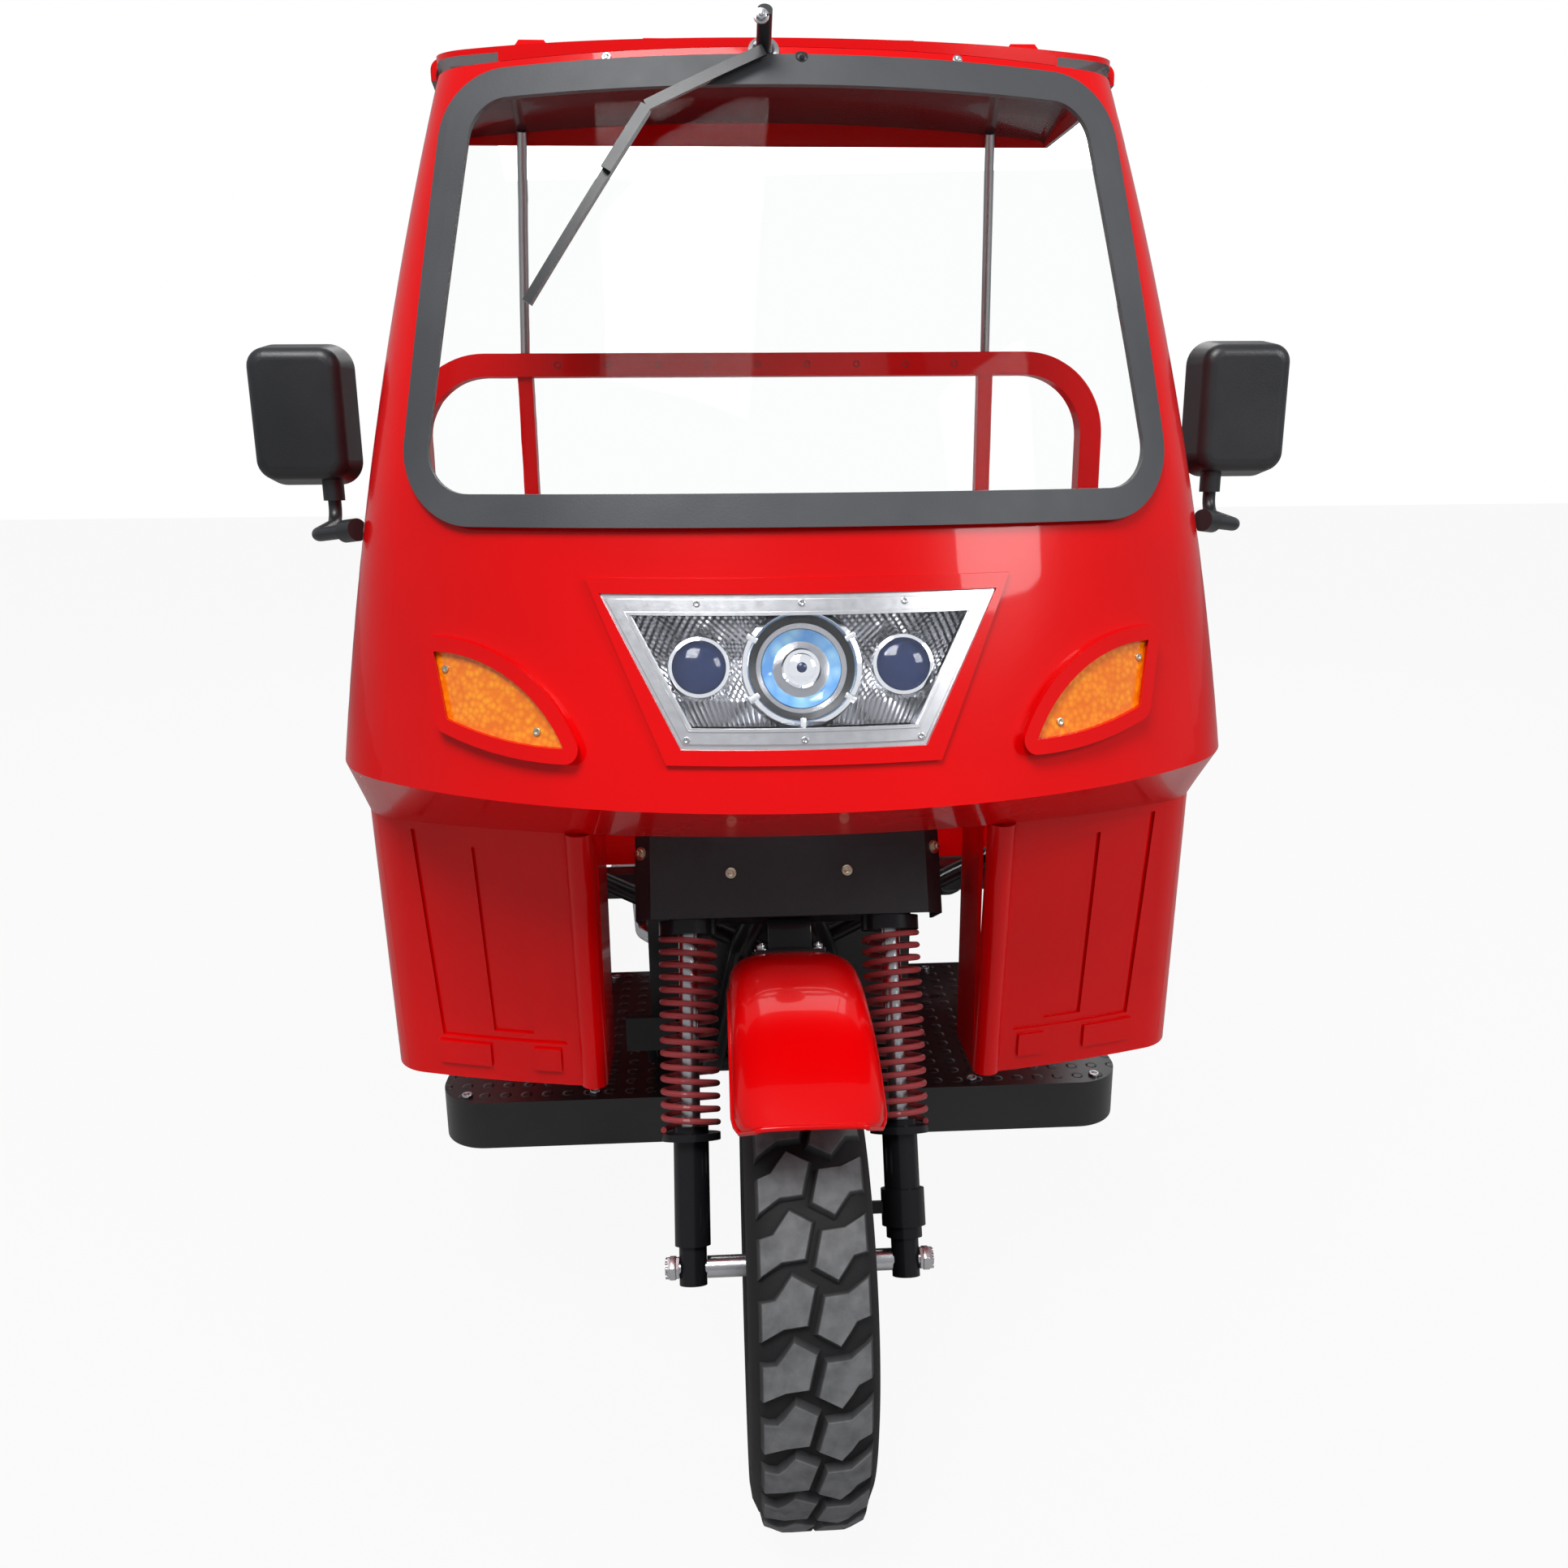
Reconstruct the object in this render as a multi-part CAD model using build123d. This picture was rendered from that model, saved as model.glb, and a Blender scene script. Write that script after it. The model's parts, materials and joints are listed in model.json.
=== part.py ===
from build123d import *
import math
import os

# Cargo tricycle with an open-sided driver's cabin, in millimetres.
# The front faces -Y, +X is the driver's left and +Z is up. While the parts are drawn, y is counted
# back from the front axle and z up from the ground. At the end every part is shifted along Y, so
# that the origin is on the ground under the middle of the vehicle.

# Shared clearances: a cut's overrun, a press or slip fit, a running gap and a seated gap
OVERRUN = 20
FIT = 0.05
RUNNING = 0.2
TOUCH = 0.3

# Wheels, all of one size: 5.00-12 tyres on pressed disc rims. The tyre's section is in shares of its
# half width and of its height over the rim.
TYRE_RADIUS = 284
TYRE_WIDTH = 138
TYRE_SHARES = [(1, 0.4), (1, 0.62), (0.9, 0.865), (0.77, 0.96), (0.49, 1)]
RIM_RADIUS = 153
RIM_WIDTH = 102
RIM_LIP = 9
RIM_WALL = 5
WHEELBASE = 2150
TRACK = 1080
DISC_WALL = 6
DISC_HOLE_CIRCLE = 108
DISC_HOLE_RADIUS = 15
DISC_HOLES = 8
DRUM_RADIUS = 82
DRUM_DEPTH = 60
HUB_RADIUS = 30

# Front fork, drawn in its own frame: origin at the axle, z up along the legs, y backward
RAKE = 25.4
LEG_SPACING = 262
LEG_RADIUS = 22
LEG_TOP = 168
FOOT_RADIUS = 17
FOOT_TOP = 26
FOOT_BOTTOM = -20
STANCHION_RADIUS = 12
SPRING_RADIUS = 34
SPRING_WIRE = 3.8
SPRING_BOTTOM = 160
SPRING_LENGTH = 245
SPRING_TURNS = 15
SPRING_SIDES = 8
CAP_RADIUS = 37
CAP_HEIGHT = 18
CROWN_THICK = 16
CROWN_GAP = 118
STEM_OFFSET = 46
STEM_RADIUS = 15
HEAD_RADIUS = 24
AXLE_RADIUS = 8
AXLE_NUT_RADIUS = 14
AXLE_NUT_LENGTH = 14
AXLE_TAIL = 3
SPACER_RADIUS = 13
SPRING_TOP = SPRING_BOTTOM + SPRING_LENGTH
CROWN_BOTTOM = SPRING_TOP + CAP_HEIGHT
CROWN_TOP = CROWN_BOTTOM + 2 * CROWN_THICK + CROWN_GAP
HEAD_MIDDLE = CROWN_BOTTOM + CROWN_THICK + CROWN_GAP / 2

# Front brake: fixed plate beside the drum, held by a link to the leg
PLATE_GAP = 5
PLATE_WALL = 5
LINK_HEIGHT = 62
LINK_HALF = 7
CLAMP_BAND = 5

# Front mudguard round the tyre
FENDER_GAP = 96
FENDER_HALF = 83
FENDER_CROWN = 50
FENDER_ROUND = 40
FENDER_WALL = 4
FENDER_BRACKET = 28
FENDER_FRONT_ANGLE = 55
FENDER_REAR_ANGLE = 150

# Cover over the fork's crowns
COVER_HALF = 196
COVER_FACE = 176
COVER_RUN = 92
COVER_BEVEL = 16
COVER_HEIGHT = 108
COVER_WALL = 4

# Handlebar: tube path above the crown, grips and gauge
BAR_RADIUS = 11
BAR_BEND = 60
BAR_RISE = 240
BAR_LIFT = 50
BAR_HALF = 350
BAR_SWEEP = 110
BAR_PATH_SHARES = [(0.26, 0, 0), (0.57, 0.55, 1), (1, 1, 1)]
GRIP_RADIUS = 17
GRIP_LENGTH = 125
GAUGE_RADIUS = 46
GAUGE_DEPTH = 38
GAUGE_BEZEL = 5

# Heights of the cabin, chained up and down from the crease across its belly
CREASE_HEIGHT = 900
CHIN_DROP = 85
SHIELD_HEIGHT = 352
BELT_RISE = 280
WINDOW_RISE = 488
SILL_HEIGHT = CREASE_HEIGHT + BELT_RISE
HEADER_HEIGHT = SILL_HEIGHT + WINDOW_RISE
CHIN_HEIGHT = CREASE_HEIGHT - CHIN_DROP
BELLY_HEIGHT = CHIN_HEIGHT - SHIELD_HEIGHT

# Cabin shell: plan sections, each with a bowed front and rounded corners
SKIN = 6
BELLY = dict(height=BELLY_HEIGHT, half_width=526, front=112, bow=1600, corner=60)
CHIN = dict(height=CHIN_HEIGHT, half_width=536, front=60, bow=1100, corner=90)
CREASE = dict(height=CREASE_HEIGHT, half_width=540, front=-144, bow=700, corner=230)
SILL = dict(height=SILL_HEIGHT, half_width=495, front=-54, bow=750, corner=150)
HEADER = dict(height=HEADER_HEIGHT, half_width=392, front=147, bow=865, corner=68)
SHELL_BACK = 420
PRISM_BACK = 330

# Seam between front panel and side panels, and front edge of the door opening: y at each height
SEAM_FOOT = 198
SEAM_HEAD = 262
DOOR_FOOT = 332
DOOR_WAIST = 352
DOOR_NECK = 318
DOOR_HEAD = 385
SEAM_GAP = 0.4

# Wheel opening between the leg shields, whose inner edges are rolled and turned back
ARCH_GAP = 42
ROLL_RADIUS = 17
FLANGE_DEPTH = 52
FLANGE_WALL = 5
ARCH_HALF = COVER_HALF + ARCH_GAP

# Pressings of the leg shields, in shares of a shield's width and height from its lower inner corner
PRESS_DEPTH = 4
SHIELD_WIDTH = BELLY["half_width"] - ARCH_HALF
RECESS_SHARES = [(0.17, 0.17), (0.74, 0.17), (0.80, 0.97), (0.17, 0.97)]
GROOVE_SHARES = [(0.32, 0.20), (0.50, 0.20), (0.53, 0.92), (0.33, 0.92)]
BAR_SHARES = [
    [(0.20, 0.06), (0.32, 0.06), (0.32, 0.15), (0.20, 0.15)],
    [(0.52, 0.06), (0.76, 0.06), (0.76, 0.15), (0.52, 0.15)],
]

# Windshield, measured square to the front view from the sill and the header
GLASS_LIFT = 16
GLASS_DROP = 30
PILLAR_FOOT = 83
PILLAR_HEAD = 40
GLASS_CORNER = 58
GLASS_THICK = 5
GLASS_INSET = 3
GASKET_BAND = 20
GASKET_LAP = 13
GASKET_PROUD = 8
GLASS_BOTTOM = SILL_HEIGHT + GLASS_LIFT
GLASS_TOP = HEADER_HEIGHT - GLASS_DROP
GLASS_HALF_BOTTOM = SILL["half_width"] - PILLAR_FOOT
GLASS_HALF_TOP = HEADER["half_width"] - PILLAR_HEAD

# Headlamp unit and the raised brow round it
LAMP_RISE = 62
LAMP_HEIGHT = 150
LAMP_HALF_TOP = 204
LAMP_HALF_BOTTOM = 124
LAMP_BORDER = 12
LAMP_DEPTH = 110
LAMP_LENS = 4
LAMP_PROUD = 2
BROW_WIDTH = 15
BROW_PROUD = 5
POCKET_DEPTH = 86
RING_SETBACK = 14
BIG_RADIUS = 49
SMALL_RADIUS = 25
SMALL_SPACING = 104
RING_WALL = 7
PROJECTOR_CROWN = 16
LAMP_CENTRE_SHARE = 0.54
LAMP_BOTTOM = CREASE_HEIGHT + LAMP_RISE
LAMP_TOP = LAMP_BOTTOM + LAMP_HEIGHT
LAMP_CENTRE = LAMP_BOTTOM + LAMP_CENTRE_SHARE * LAMP_HEIGHT

# Turn signals: a leaf shape from the tip near the lamp to the outer corner, in shares of its size
SIGNAL_RISE = 60
SIGNAL_TIP = 243
SIGNAL_WIDTH = 143
SIGNAL_HEIGHT = 88
SIGNAL_HEEL_SHARES = (0.9, 0.23)
SIGNAL_CROWN_SHARES = (0.42, 0.77)
SIGNAL_FOOT_SHARES = (0.45, 0.05)
SIGNAL_PROUD = 6
SIGNAL_DEEP = 14
POD_MARGIN = 15
POD_PROUD = 12

# Roof: stations from its front edge to its rear edge, as shares of the sizes below, in the order
# distance, half width, rise of the crown, rise of the lip, radius across, radius of the edges
ROOF_LENGTH = 755
ROOF_HALF = 480
ROOF_RISE = 110
ROOF_BOW = 4500
ROOF_EDGE = 24
ROOF_SETBACK = 2
ROOF_SHARES = [
    (0, 0.81, 0.08, 0, 8.9, 0.2),
    (0.155, 0.83, 0.27, 0, 2, 0.5),
    (0.47, 0.90, 0.74, 0.20, 1.11, 1),
    (1, 1, 1, 0.64, 1, 0.4),
]
ROOF_WALL = 6
ROOF_HEADER = 60
ROOF_RIBS = 5
ROOF_RIB_PITCH = 139
ROOF_RIB_BASE = 25
ROOF_RIB_CROWN = 14
ROOF_RIB_HEIGHT = 10
ROOF_RIB_FRONT = 90
ROOF_RIB_REAR = 715
STAY_SHARE = 0.79
STAY_RADIUS = 8

# Wiper: x and height above the sill of the blade's ends and of the arm's link
WIPER_X = -22
WIPER_POST_RADIUS = 8
WIPER_POST_LENGTH = 56
WIPER_POST_TILT = 32
WIPER_DROP = 9
ARM_LIFT = 13
ARM_THICK = 8
ARM_HALF = 6
BLADE_RUN = 255
BLADE_DROP = 255
BLADE_SHARES = [(0.49, 0.225), (0.66, 0.48), (1, 1)]
BLADE_HALF = 5

# Mirrors, placed from the cabin's sill
MIRROR_REACH = 98
MIRROR_Y = 280
MIRROR_RISE = 121
MIRROR_HALF_WIDTH = 63
MIRROR_HALF_HEIGHT = 85
MIRROR_DEPTH = 52
MIRROR_CORNER = 30
MIRROR_EDGE = 16
MIRROR_TAPER = 9
MIRROR_RIM = 8
MIRROR_ARM_RADIUS = 8
MIRROR_BEND = 24
MIRROR_ROOT_Y = 150
MIRROR_ROOT_DROP = 12
MIRROR_SOCKET_RADIUS = 13
MIRROR_STALK_INSET = 30
MIRROR_BOSS = 28
MIRROR_KNEE_SHARES = (0.9, 0.32)
MIRROR_SOCKET_SHARE = 0.3

# Chassis
RAIL_X = 170
RAIL_WIDTH = 40
RAIL_HEIGHT = 60
RAIL_TOP = 612
RAIL_FRONT = 560
RAIL_TAIL = 210
CROSS_TUBE = 20
TAIL_HALF = 560
MID_MEMBER_SHARE = 0.68

# Front frame: two upper tubes to the rails, a cradle under the engine, tubes under the footboards
UPPER_RADIUS = 17
UPPER_BEND = 80
UPPER_KNEE_SHARES = (0.3, 0.38, 0.35)
TUBE_SPLAY = 14
TUBE_RISE = 16
WELD_SHARE = 0.8
CRADLE_X = 110
CRADLE_Z = 322
CRADLE_FRONT = 430
CRADLE_REAR = 930
CRADLE_BEND = 60
CRADLE_KNEE_SHARES = (0.48, 0.57, 0.36)
CRADLE_RUN = 70
OUTRIGGER_RADIUS = 19
CARRIER_RADIUS = 13
CARRIER_Y = 385
CARRIER_Z = 527
CARRIER_RISE = 0.5
CARRIER_BEND = 60
CARRIER_REACH = 515
EAR_LENGTH = 95
EAR_HALF = 28
BOARD_TUBE_SHARES = [0.35, 0.87]
BOARD_TUBE_INSET = 30

# Cargo box
BOX_FRONT = 1040
BOX_LENGTH = 1800
BOX_HALF = 640
FLOOR_LIFT = 52
FLOOR_PLATE = 4
BEAM_WIDTH = 40
BEAMS = 6
SIDE_HEIGHT = 340
WALL = 28
PANELS = 4
GATE_PANELS = 3
PANEL_FRAME = 40
PANEL_DEPTH = 14
HOOP_TUBE = 40
HOOP_RISE = 427
HOOP_BEND = 130
HOOP_POST_X = 420
HOOP_POST_HALF = 13
FLOOR_TOP = RAIL_TOP + FLOOR_LIFT
SILL_TOP = FLOOR_TOP - FLOOR_PLATE
BOX_TOP = FLOOR_TOP + SIDE_HEIGHT
BOX_REAR = BOX_FRONT + BOX_LENGTH
HOOP_TOP = BOX_TOP + HOOP_RISE

# Tailgate and its hinges
GATE_GAP = 6
GATE_DROP = 9
HINGE_DROP = 14
HINGE_RADIUS = 9
HINGE_PITCH = 450
HINGES = [-HINGE_PITCH, 0, HINGE_PITCH]
KNUCKLE = 30
PIN_HALF = 48
PIN_RADIUS = 5
NOTCH_GAP = 5
NOTCH_HEIGHT = 20
GATE_BOTTOM = FLOOR_TOP - GATE_DROP
HINGE_Z = FLOOR_TOP - HINGE_DROP
HINGE_Y = BOX_REAR + GATE_GAP + WALL / 2

# Rear axle, springs and drive
SPRING_X = 372
LEAF_WIDTH = 60
LEAF_THICK = 8
LEAF_COUNT = 6
LEAF_HALF = 430
LEAF_STEP = 62
LEAF_ARCH = 96
LEAF_LIFT = 50
EYE_RADIUS = 16
EYE_DROP = 6
CLAMP_WALL = 7
CLAMP_HALF = 45
HANGER_WALL = 6
HANGER_HALF = 22
HANGER_DROP = 182
HANGER_SLOT = 60
AXLE_TUBE = 34
BACKPLATE = 8
DIFF_RADIUS = 112
SPINDLE_RADIUS = 20
SHAFT_RADIUS = 24
YOKE = 60
YOKE_RADIUS = 38
DRIVE_REACH = 166
DRIVE_FRONT = 940
DRIVE_HEIGHT = 430
OUTPUT_REACH = 100
MUDGUARD_WALL = 4
MUDGUARD_HALF = 88
MUDGUARD_REACH = 300
MUDGUARD_LOW = 90
RAIL_REAR = WHEELBASE + LEAF_HALF + RAIL_TAIL
LEAF_BASE = TYRE_RADIUS + LEAF_LIFT
MUDGUARD_RADIUS = RAIL_TOP - TYRE_RADIUS - TOUCH
LEAF_EYE = LEAF_BASE + LEAF_COUNT * LEAF_THICK + LEAF_ARCH - EYE_DROP

# Engine: crankcase between two round cases, a finned barrel on top, and the output to the drive shaft
CASE_HALF = 95
CASE_FRONT = 560
CASE_LENGTH = 290
CASE_LOW = 350
CASE_HEIGHT = 155
CRANK_RADIUS = 81
CRANK_HALF = 104
GEAR_RADIUS = 70
GEAR_HALF = 100
CRANK_Y = 620
GEAR_Y = 790
SHAFT_Z = 431
FINS = 7
FIN_PITCH = 12
FIN_THICK = 4
FIN_HALF = 66
FIN_CORNER = 14
BARREL_Y = 655
BARREL_RADIUS = 48
BARREL_LIFT = 14
HEAD_HALF = 52
HEAD_HEIGHT = 36
HEAD_EDGE = 8
PLUG_RADIUS = 9
PLUG_LENGTH = 42
CASE_TOP = CASE_LOW + CASE_HEIGHT
BARREL_LOW = CASE_TOP + BARREL_LIFT
BARREL_TOP = BARREL_LOW + FINS * FIN_PITCH

# Exhaust: from the barrel's port to the muffler, in shares of the way between them
PORT_X = -30
PORT_LIFT = 47
MUFFLER_X = -262
MUFFLER_FRONT = 1130
MUFFLER_Z = 420
MUFFLER_LENGTH = 460
MUFFLER_RISE = 20
MUFFLER_RADIUS = 52
MUFFLER_LAP = 30
OUTLET_RADIUS = 16
OUTLET_LENGTH = 70
EXHAUST_RADIUS = 14
EXHAUST_BEND = 30
EXHAUST_SHARES = [
    (0, 0, 0),
    (0, -0.15, 0),
    (0, -0.18, 1.15),
    (0.42, -0.14, 1.35),
    (0.42, 0.28, 1.35),
    (0.88, 0.5, 1.21),
    (1, 1, 1),
]

# Footboards, splash guard and pedal
BOARD_TOP = 354
BOARD_PLATE = 5
BOARD_SKIRT = 72
BOARD_FRONT = 298
BOARD_REAR = 760
BOARD_INNER = 145
BOARD_OUTER = 500
BOARD_CORNER = 66
GUARD_HALF = 198
GUARD_FOOT = 450
GUARD_WALL = 4
GUARD_LEAN = 30
GUARD_HEIGHT = 246
PEDAL_PIVOT_SHARE = 0.706
PEDAL_RADIUS = 8
PEDAL_BEND = 20
PEDAL_OUT = 95
PEDAL_FORWARD = 104
PEDAL_RISE = 48
PEDAL_PATH_SHARES = [(0, 0, 0), (1, 0.06, 0.04), (1, 0.75, 0.17), (1, 1, 1)]
PAD_HALF = 35
PAD_THICK = 10
PAD_HEIGHT = 50

# Seat
SEAT_FRONT = 590
SEAT_REAR = 1022
SEAT_HALF = 430
SEAT_BASE = 100
CUSHION = 84
CUSHION_LAP = 12
CUSHION_ROUND = 22
BACK_HEIGHT = 380
BACK_THICK = 66

# Lamps, plate and battery box
TAIL_LAMP_X = 460
TAIL_LAMP_HALF = 60
TAIL_LAMP_HEIGHT = 64
TAIL_LAMP_DEPTH = 44
TAIL_LAMP_EDGE = 8
BRACKET_HALF = 130
BRACKET_WALL = 3
BRACKET_DROP = 142
BRACKET_HOLE_X = 100
BRACKET_HOLE_DROP = 92
BRACKET_HOLE_RADIUS = 4
BATTERY_WIDTH = 240
BATTERY_LENGTH = 280
BATTERY_HEIGHT = 170
BATTERY_DROP = 42
BATTERY_SETBACK = 100
BATTERY_EDGE = 10

parts = {}


def bowed_outline(half_width, bow, corner, depth):
    """Face with a bowed front edge at y = 0, rounded corners and straight sides back to y = -depth."""
    corner_x = half_width - corner
    corner_y = -bow + math.sqrt((bow - corner) ** 2 - corner_x**2)
    reach = bow / (bow - corner)
    joint_x = corner_x * reach
    joint_y = -bow + (corner_y + bow) * reach
    turn = math.atan2(joint_y - corner_y, joint_x - corner_x) / 2
    middle_x = corner_x + corner * math.cos(turn)
    middle_y = corner_y + corner * math.sin(turn)
    edges = [
        ThreePointArc((-joint_x, joint_y), (0, 0), (joint_x, joint_y)),
        ThreePointArc((joint_x, joint_y), (middle_x, middle_y), (half_width, corner_y)),
        Line((half_width, corner_y), (half_width, -depth)),
        Line((half_width, -depth), (-half_width, -depth)),
        Line((-half_width, -depth), (-half_width, corner_y)),
        ThreePointArc((-half_width, corner_y), (-middle_x, middle_y), (-joint_x, joint_y)),
    ]
    return make_face(edges)


def plan_section(height, half_width, front, bow, corner, grow):
    """One plan section of the cabin, its outline moved outwards by grow."""
    face = bowed_outline(half_width + grow, bow + grow, corner + grow, SHELL_BACK - front + 2 * grow)
    return Plane(origin=(0, front - grow, height), x_dir=(1, 0, 0), z_dir=(0, 0, -1)) * face


def upper_body(grow):
    """Solid of the cabin from the crease up to the header."""
    return loft([plan_section(**s, grow=grow) for s in (CREASE, SILL, HEADER)])


def lower_body(grow):
    """Solid of the cabin from the leg shields' foot up to the crease."""
    return loft([plan_section(**s, grow=grow) for s in (BELLY, CHIN, CREASE)], ruled=True)


def skin(outward, inward):
    """Layer of the upper cabin between two offsets from its outer surface."""
    return upper_body(outward) - upper_body(-inward)


def layer(outward, depth):
    """What lies between the upper cabin moved outward and the same cabin moved straight back."""
    return upper_body(outward) - Pos(0, depth, 0) * upper_body(0)


def front_y(section, x):
    """How far back the bowed front of a plan section lies at x."""
    return section["front"] + section["bow"] - math.sqrt(section["bow"] ** 2 - x**2)


def forward(face):
    """Straight prism from the cabin's middle out through its front, from a face of x and z."""
    place = Plane(origin=(0, PRISM_BACK, 0), x_dir=(1, 0, 0), z_dir=(0, -1, 0))
    return extrude(place * face, amount=PRISM_BACK - CREASE["front"] + OVERRUN, dir=(0, -1, 0))


def front_prism(points):
    """Straight prism through the cabin's front, from an outline of x and z."""
    return forward(make_face(Polyline(*points, close=True)))


def side_prism(points, half_width):
    """Straight prism across the vehicle, from an outline of y and z."""
    face = Plane.YZ * make_face(Polyline(*points, close=True))
    return extrude(face, amount=half_width, both=True)


def trapezoid(half_bottom, half_top, bottom, top):
    """Corner points of a symmetrical trapezoid in the front view."""
    return [(-half_bottom, bottom), (half_bottom, bottom), (half_top, top), (-half_top, top)]


def cylinder(start, end, radius):
    """Round bar from one point to another."""
    a = Vector(*start)
    b = Vector(*end)
    upward = (Align.CENTER, Align.CENTER, Align.MIN)
    return Plane(origin=a, z_dir=b - a) * Cylinder(radius, (b - a).length, align=upward)


def bar(y, z, half_width, radius):
    """Round bar across the vehicle, centred on its middle plane."""
    return cylinder((-half_width, y, z), (half_width, y, z), radius)


def bent_tube(points, radius, bend):
    """Round tube along straight runs joined by bends."""
    path = FilletPolyline(*points, radius=bend)
    section = Plane(origin=path @ 0, z_dir=path % 0) * Circle(radius)
    return sweep(section, path=path)


def square_tube(points, size, bend):
    """Square tube along straight runs joined by bends."""
    path = FilletPolyline(*points, radius=bend)
    section = Plane(origin=path @ 0, x_dir=(0, 1, 0), z_dir=path % 0) * Rectangle(size, size)
    return sweep(section, path=path)


def block(low, high):
    """Box from its lowest corner to its highest."""
    size = [h - l for l, h in zip(low, high)]
    middle = [(l + h) / 2 for l, h in zip(low, high)]
    return Pos(*middle) * Box(*size)


def between(start, end, shares):
    """Point between two others, at a share of the way along each axis."""
    return tuple(a + (b - a) * share for a, b, share in zip(start, end, shares))


def spun(points):
    """Ring turned round the X axis, from a closed outline of x and radius."""
    return revolve(make_face(Polyline(*points, close=True)), Axis.X)


def mirrored(shape):
    """The same shape on the other side of the vehicle."""
    return mirror(shape, Plane.YZ)


def both_sides(shape):
    """A shape and its mirror image, as solids that don't touch."""
    return Compound([shape, mirrored(shape)])


# Wheels


def tyre():
    """Plain closed tyre that seats in the rim, its section made of straight runs."""
    seat = RIM_WIDTH / 2 - RIM_WALL - FIT
    bead = RIM_RADIUS + FIT
    height = TYRE_RADIUS - bead
    side = [(TYRE_WIDTH / 2 * out, bead + height * up) for out, up in TYRE_SHARES]
    right = [(seat, bead), (seat, bead + RIM_LIP + RIM_WALL), *side]
    left = [(-x, radius) for x, radius in reversed(right)]
    return spun(right + left)


def rim(bore, drum_side):
    """Disc rim with its brake drum on one side and a bored hub."""
    edge = RIM_WIDTH / 2
    well = RIM_RADIUS - RIM_WALL
    lip = RIM_RADIUS + RIM_LIP
    ring = spun(
        [
            (-edge, well),
            (edge, well),
            (edge, lip),
            (edge - RIM_WALL, lip),
            (edge - RIM_WALL, RIM_RADIUS),
            (-edge + RIM_WALL, RIM_RADIUS),
            (-edge + RIM_WALL, lip),
            (-edge, lip),
        ]
    )
    disc = spun(
        [
            (-DISC_WALL, bore),
            (DISC_WALL / 2, bore),
            (DISC_WALL / 2, HUB_RADIUS * 2),
            (3 * DISC_WALL, DISC_HOLE_CIRCLE),
            (0, well),
            (-DISC_WALL, well),
            (2 * DISC_WALL, DISC_HOLE_CIRCLE),
            (-DISC_WALL, HUB_RADIUS * 2),
        ]
    )
    hub = spun([(-edge, bore), (edge, bore), (edge, HUB_RADIUS), (-edge, HUB_RADIUS)])
    end = DRUM_DEPTH * drum_side
    drum = spun([(0, bore), (end, bore), (end, DRUM_RADIUS), (0, DRUM_RADIUS)])
    wheel = ring + disc + hub + drum
    hole = Pos(0, 0, DISC_HOLE_CIRCLE + DISC_HOLE_RADIUS / 2) * Rot(0, 90, 0)
    hole = hole * Cylinder(DISC_HOLE_RADIUS, 2 * RIM_WIDTH)
    for turn in range(DISC_HOLES):
        wheel -= Rot(360 / DISC_HOLES * turn, 0, 0) * hole
    return wheel


def front_wheel():
    place = Pos(0, 0, TYRE_RADIUS)
    parts["front_tyre"] = place * tyre()
    parts["front_rim"] = place * rim(AXLE_RADIUS + RUNNING, 1)


def rear_wheels():
    for side, name in ((1, "left"), (-1, "right")):
        place = Pos(side * TRACK / 2, WHEELBASE, TYRE_RADIUS)
        parts["rear_tyre_" + name] = place * tyre()
        parts["rear_rim_" + name] = place * rim(SPINDLE_RADIUS + RUNNING, -side)


# Steering: everything here is drawn in the fork's frame and then raked

FORK = Plane(
    origin=(0, 0, TYRE_RADIUS),
    x_dir=(1, 0, 0),
    z_dir=(0, math.sin(math.radians(RAKE)), math.cos(math.radians(RAKE))),
).location


def fork_point(x, y, z):
    """Place on the vehicle of a point given in the fork's frame."""
    return (FORK * Pos(x, y, z)).position


def leg_pair(piece):
    """A piece drawn round the fork's own z axis, set on both legs."""
    return FORK * both_sides(Pos(LEG_SPACING / 2, 0, 0) * piece)


def upright(radius, low, high):
    """Upright round bar between two heights."""
    upward = (Align.CENTER, Align.CENTER, Align.MIN)
    return Pos(0, 0, low) * Cylinder(radius, high - low, align=upward)


def fork_leg():
    leg = upright(LEG_RADIUS, FOOT_TOP, LEG_TOP)
    seat = upright(CAP_RADIUS, SPRING_BOTTOM - CAP_HEIGHT / 2, SPRING_BOTTOM - TOUCH)
    foot = upright(FOOT_RADIUS, FOOT_BOTTOM, FOOT_TOP)
    bore = Rot(0, 90, 0) * Cylinder(AXLE_RADIUS + FIT, 4 * LEG_RADIUS)
    return leg + seat + foot - bore


def coil_spring():
    """Coil of many-sided wire round the stanchion, between the leg's seat and the cap."""
    height = SPRING_LENGTH - TOUCH - 2 * SPRING_WIRE
    path = Helix(pitch=height / SPRING_TURNS, height=height, radius=SPRING_RADIUS)
    section = Plane(origin=path @ 0, z_dir=path % 0) * RegularPolygon(SPRING_WIRE, SPRING_SIDES)
    return Pos(0, 0, SPRING_BOTTOM + SPRING_WIRE) * sweep(section, path=path, is_frenet=True)


def spring_cap():
    cap = upright(CAP_RADIUS, SPRING_TOP, CROWN_BOTTOM)
    return cap - upright(STANCHION_RADIUS + FIT, SPRING_TOP - OVERRUN, CROWN_BOTTOM + OVERRUN)


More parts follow.
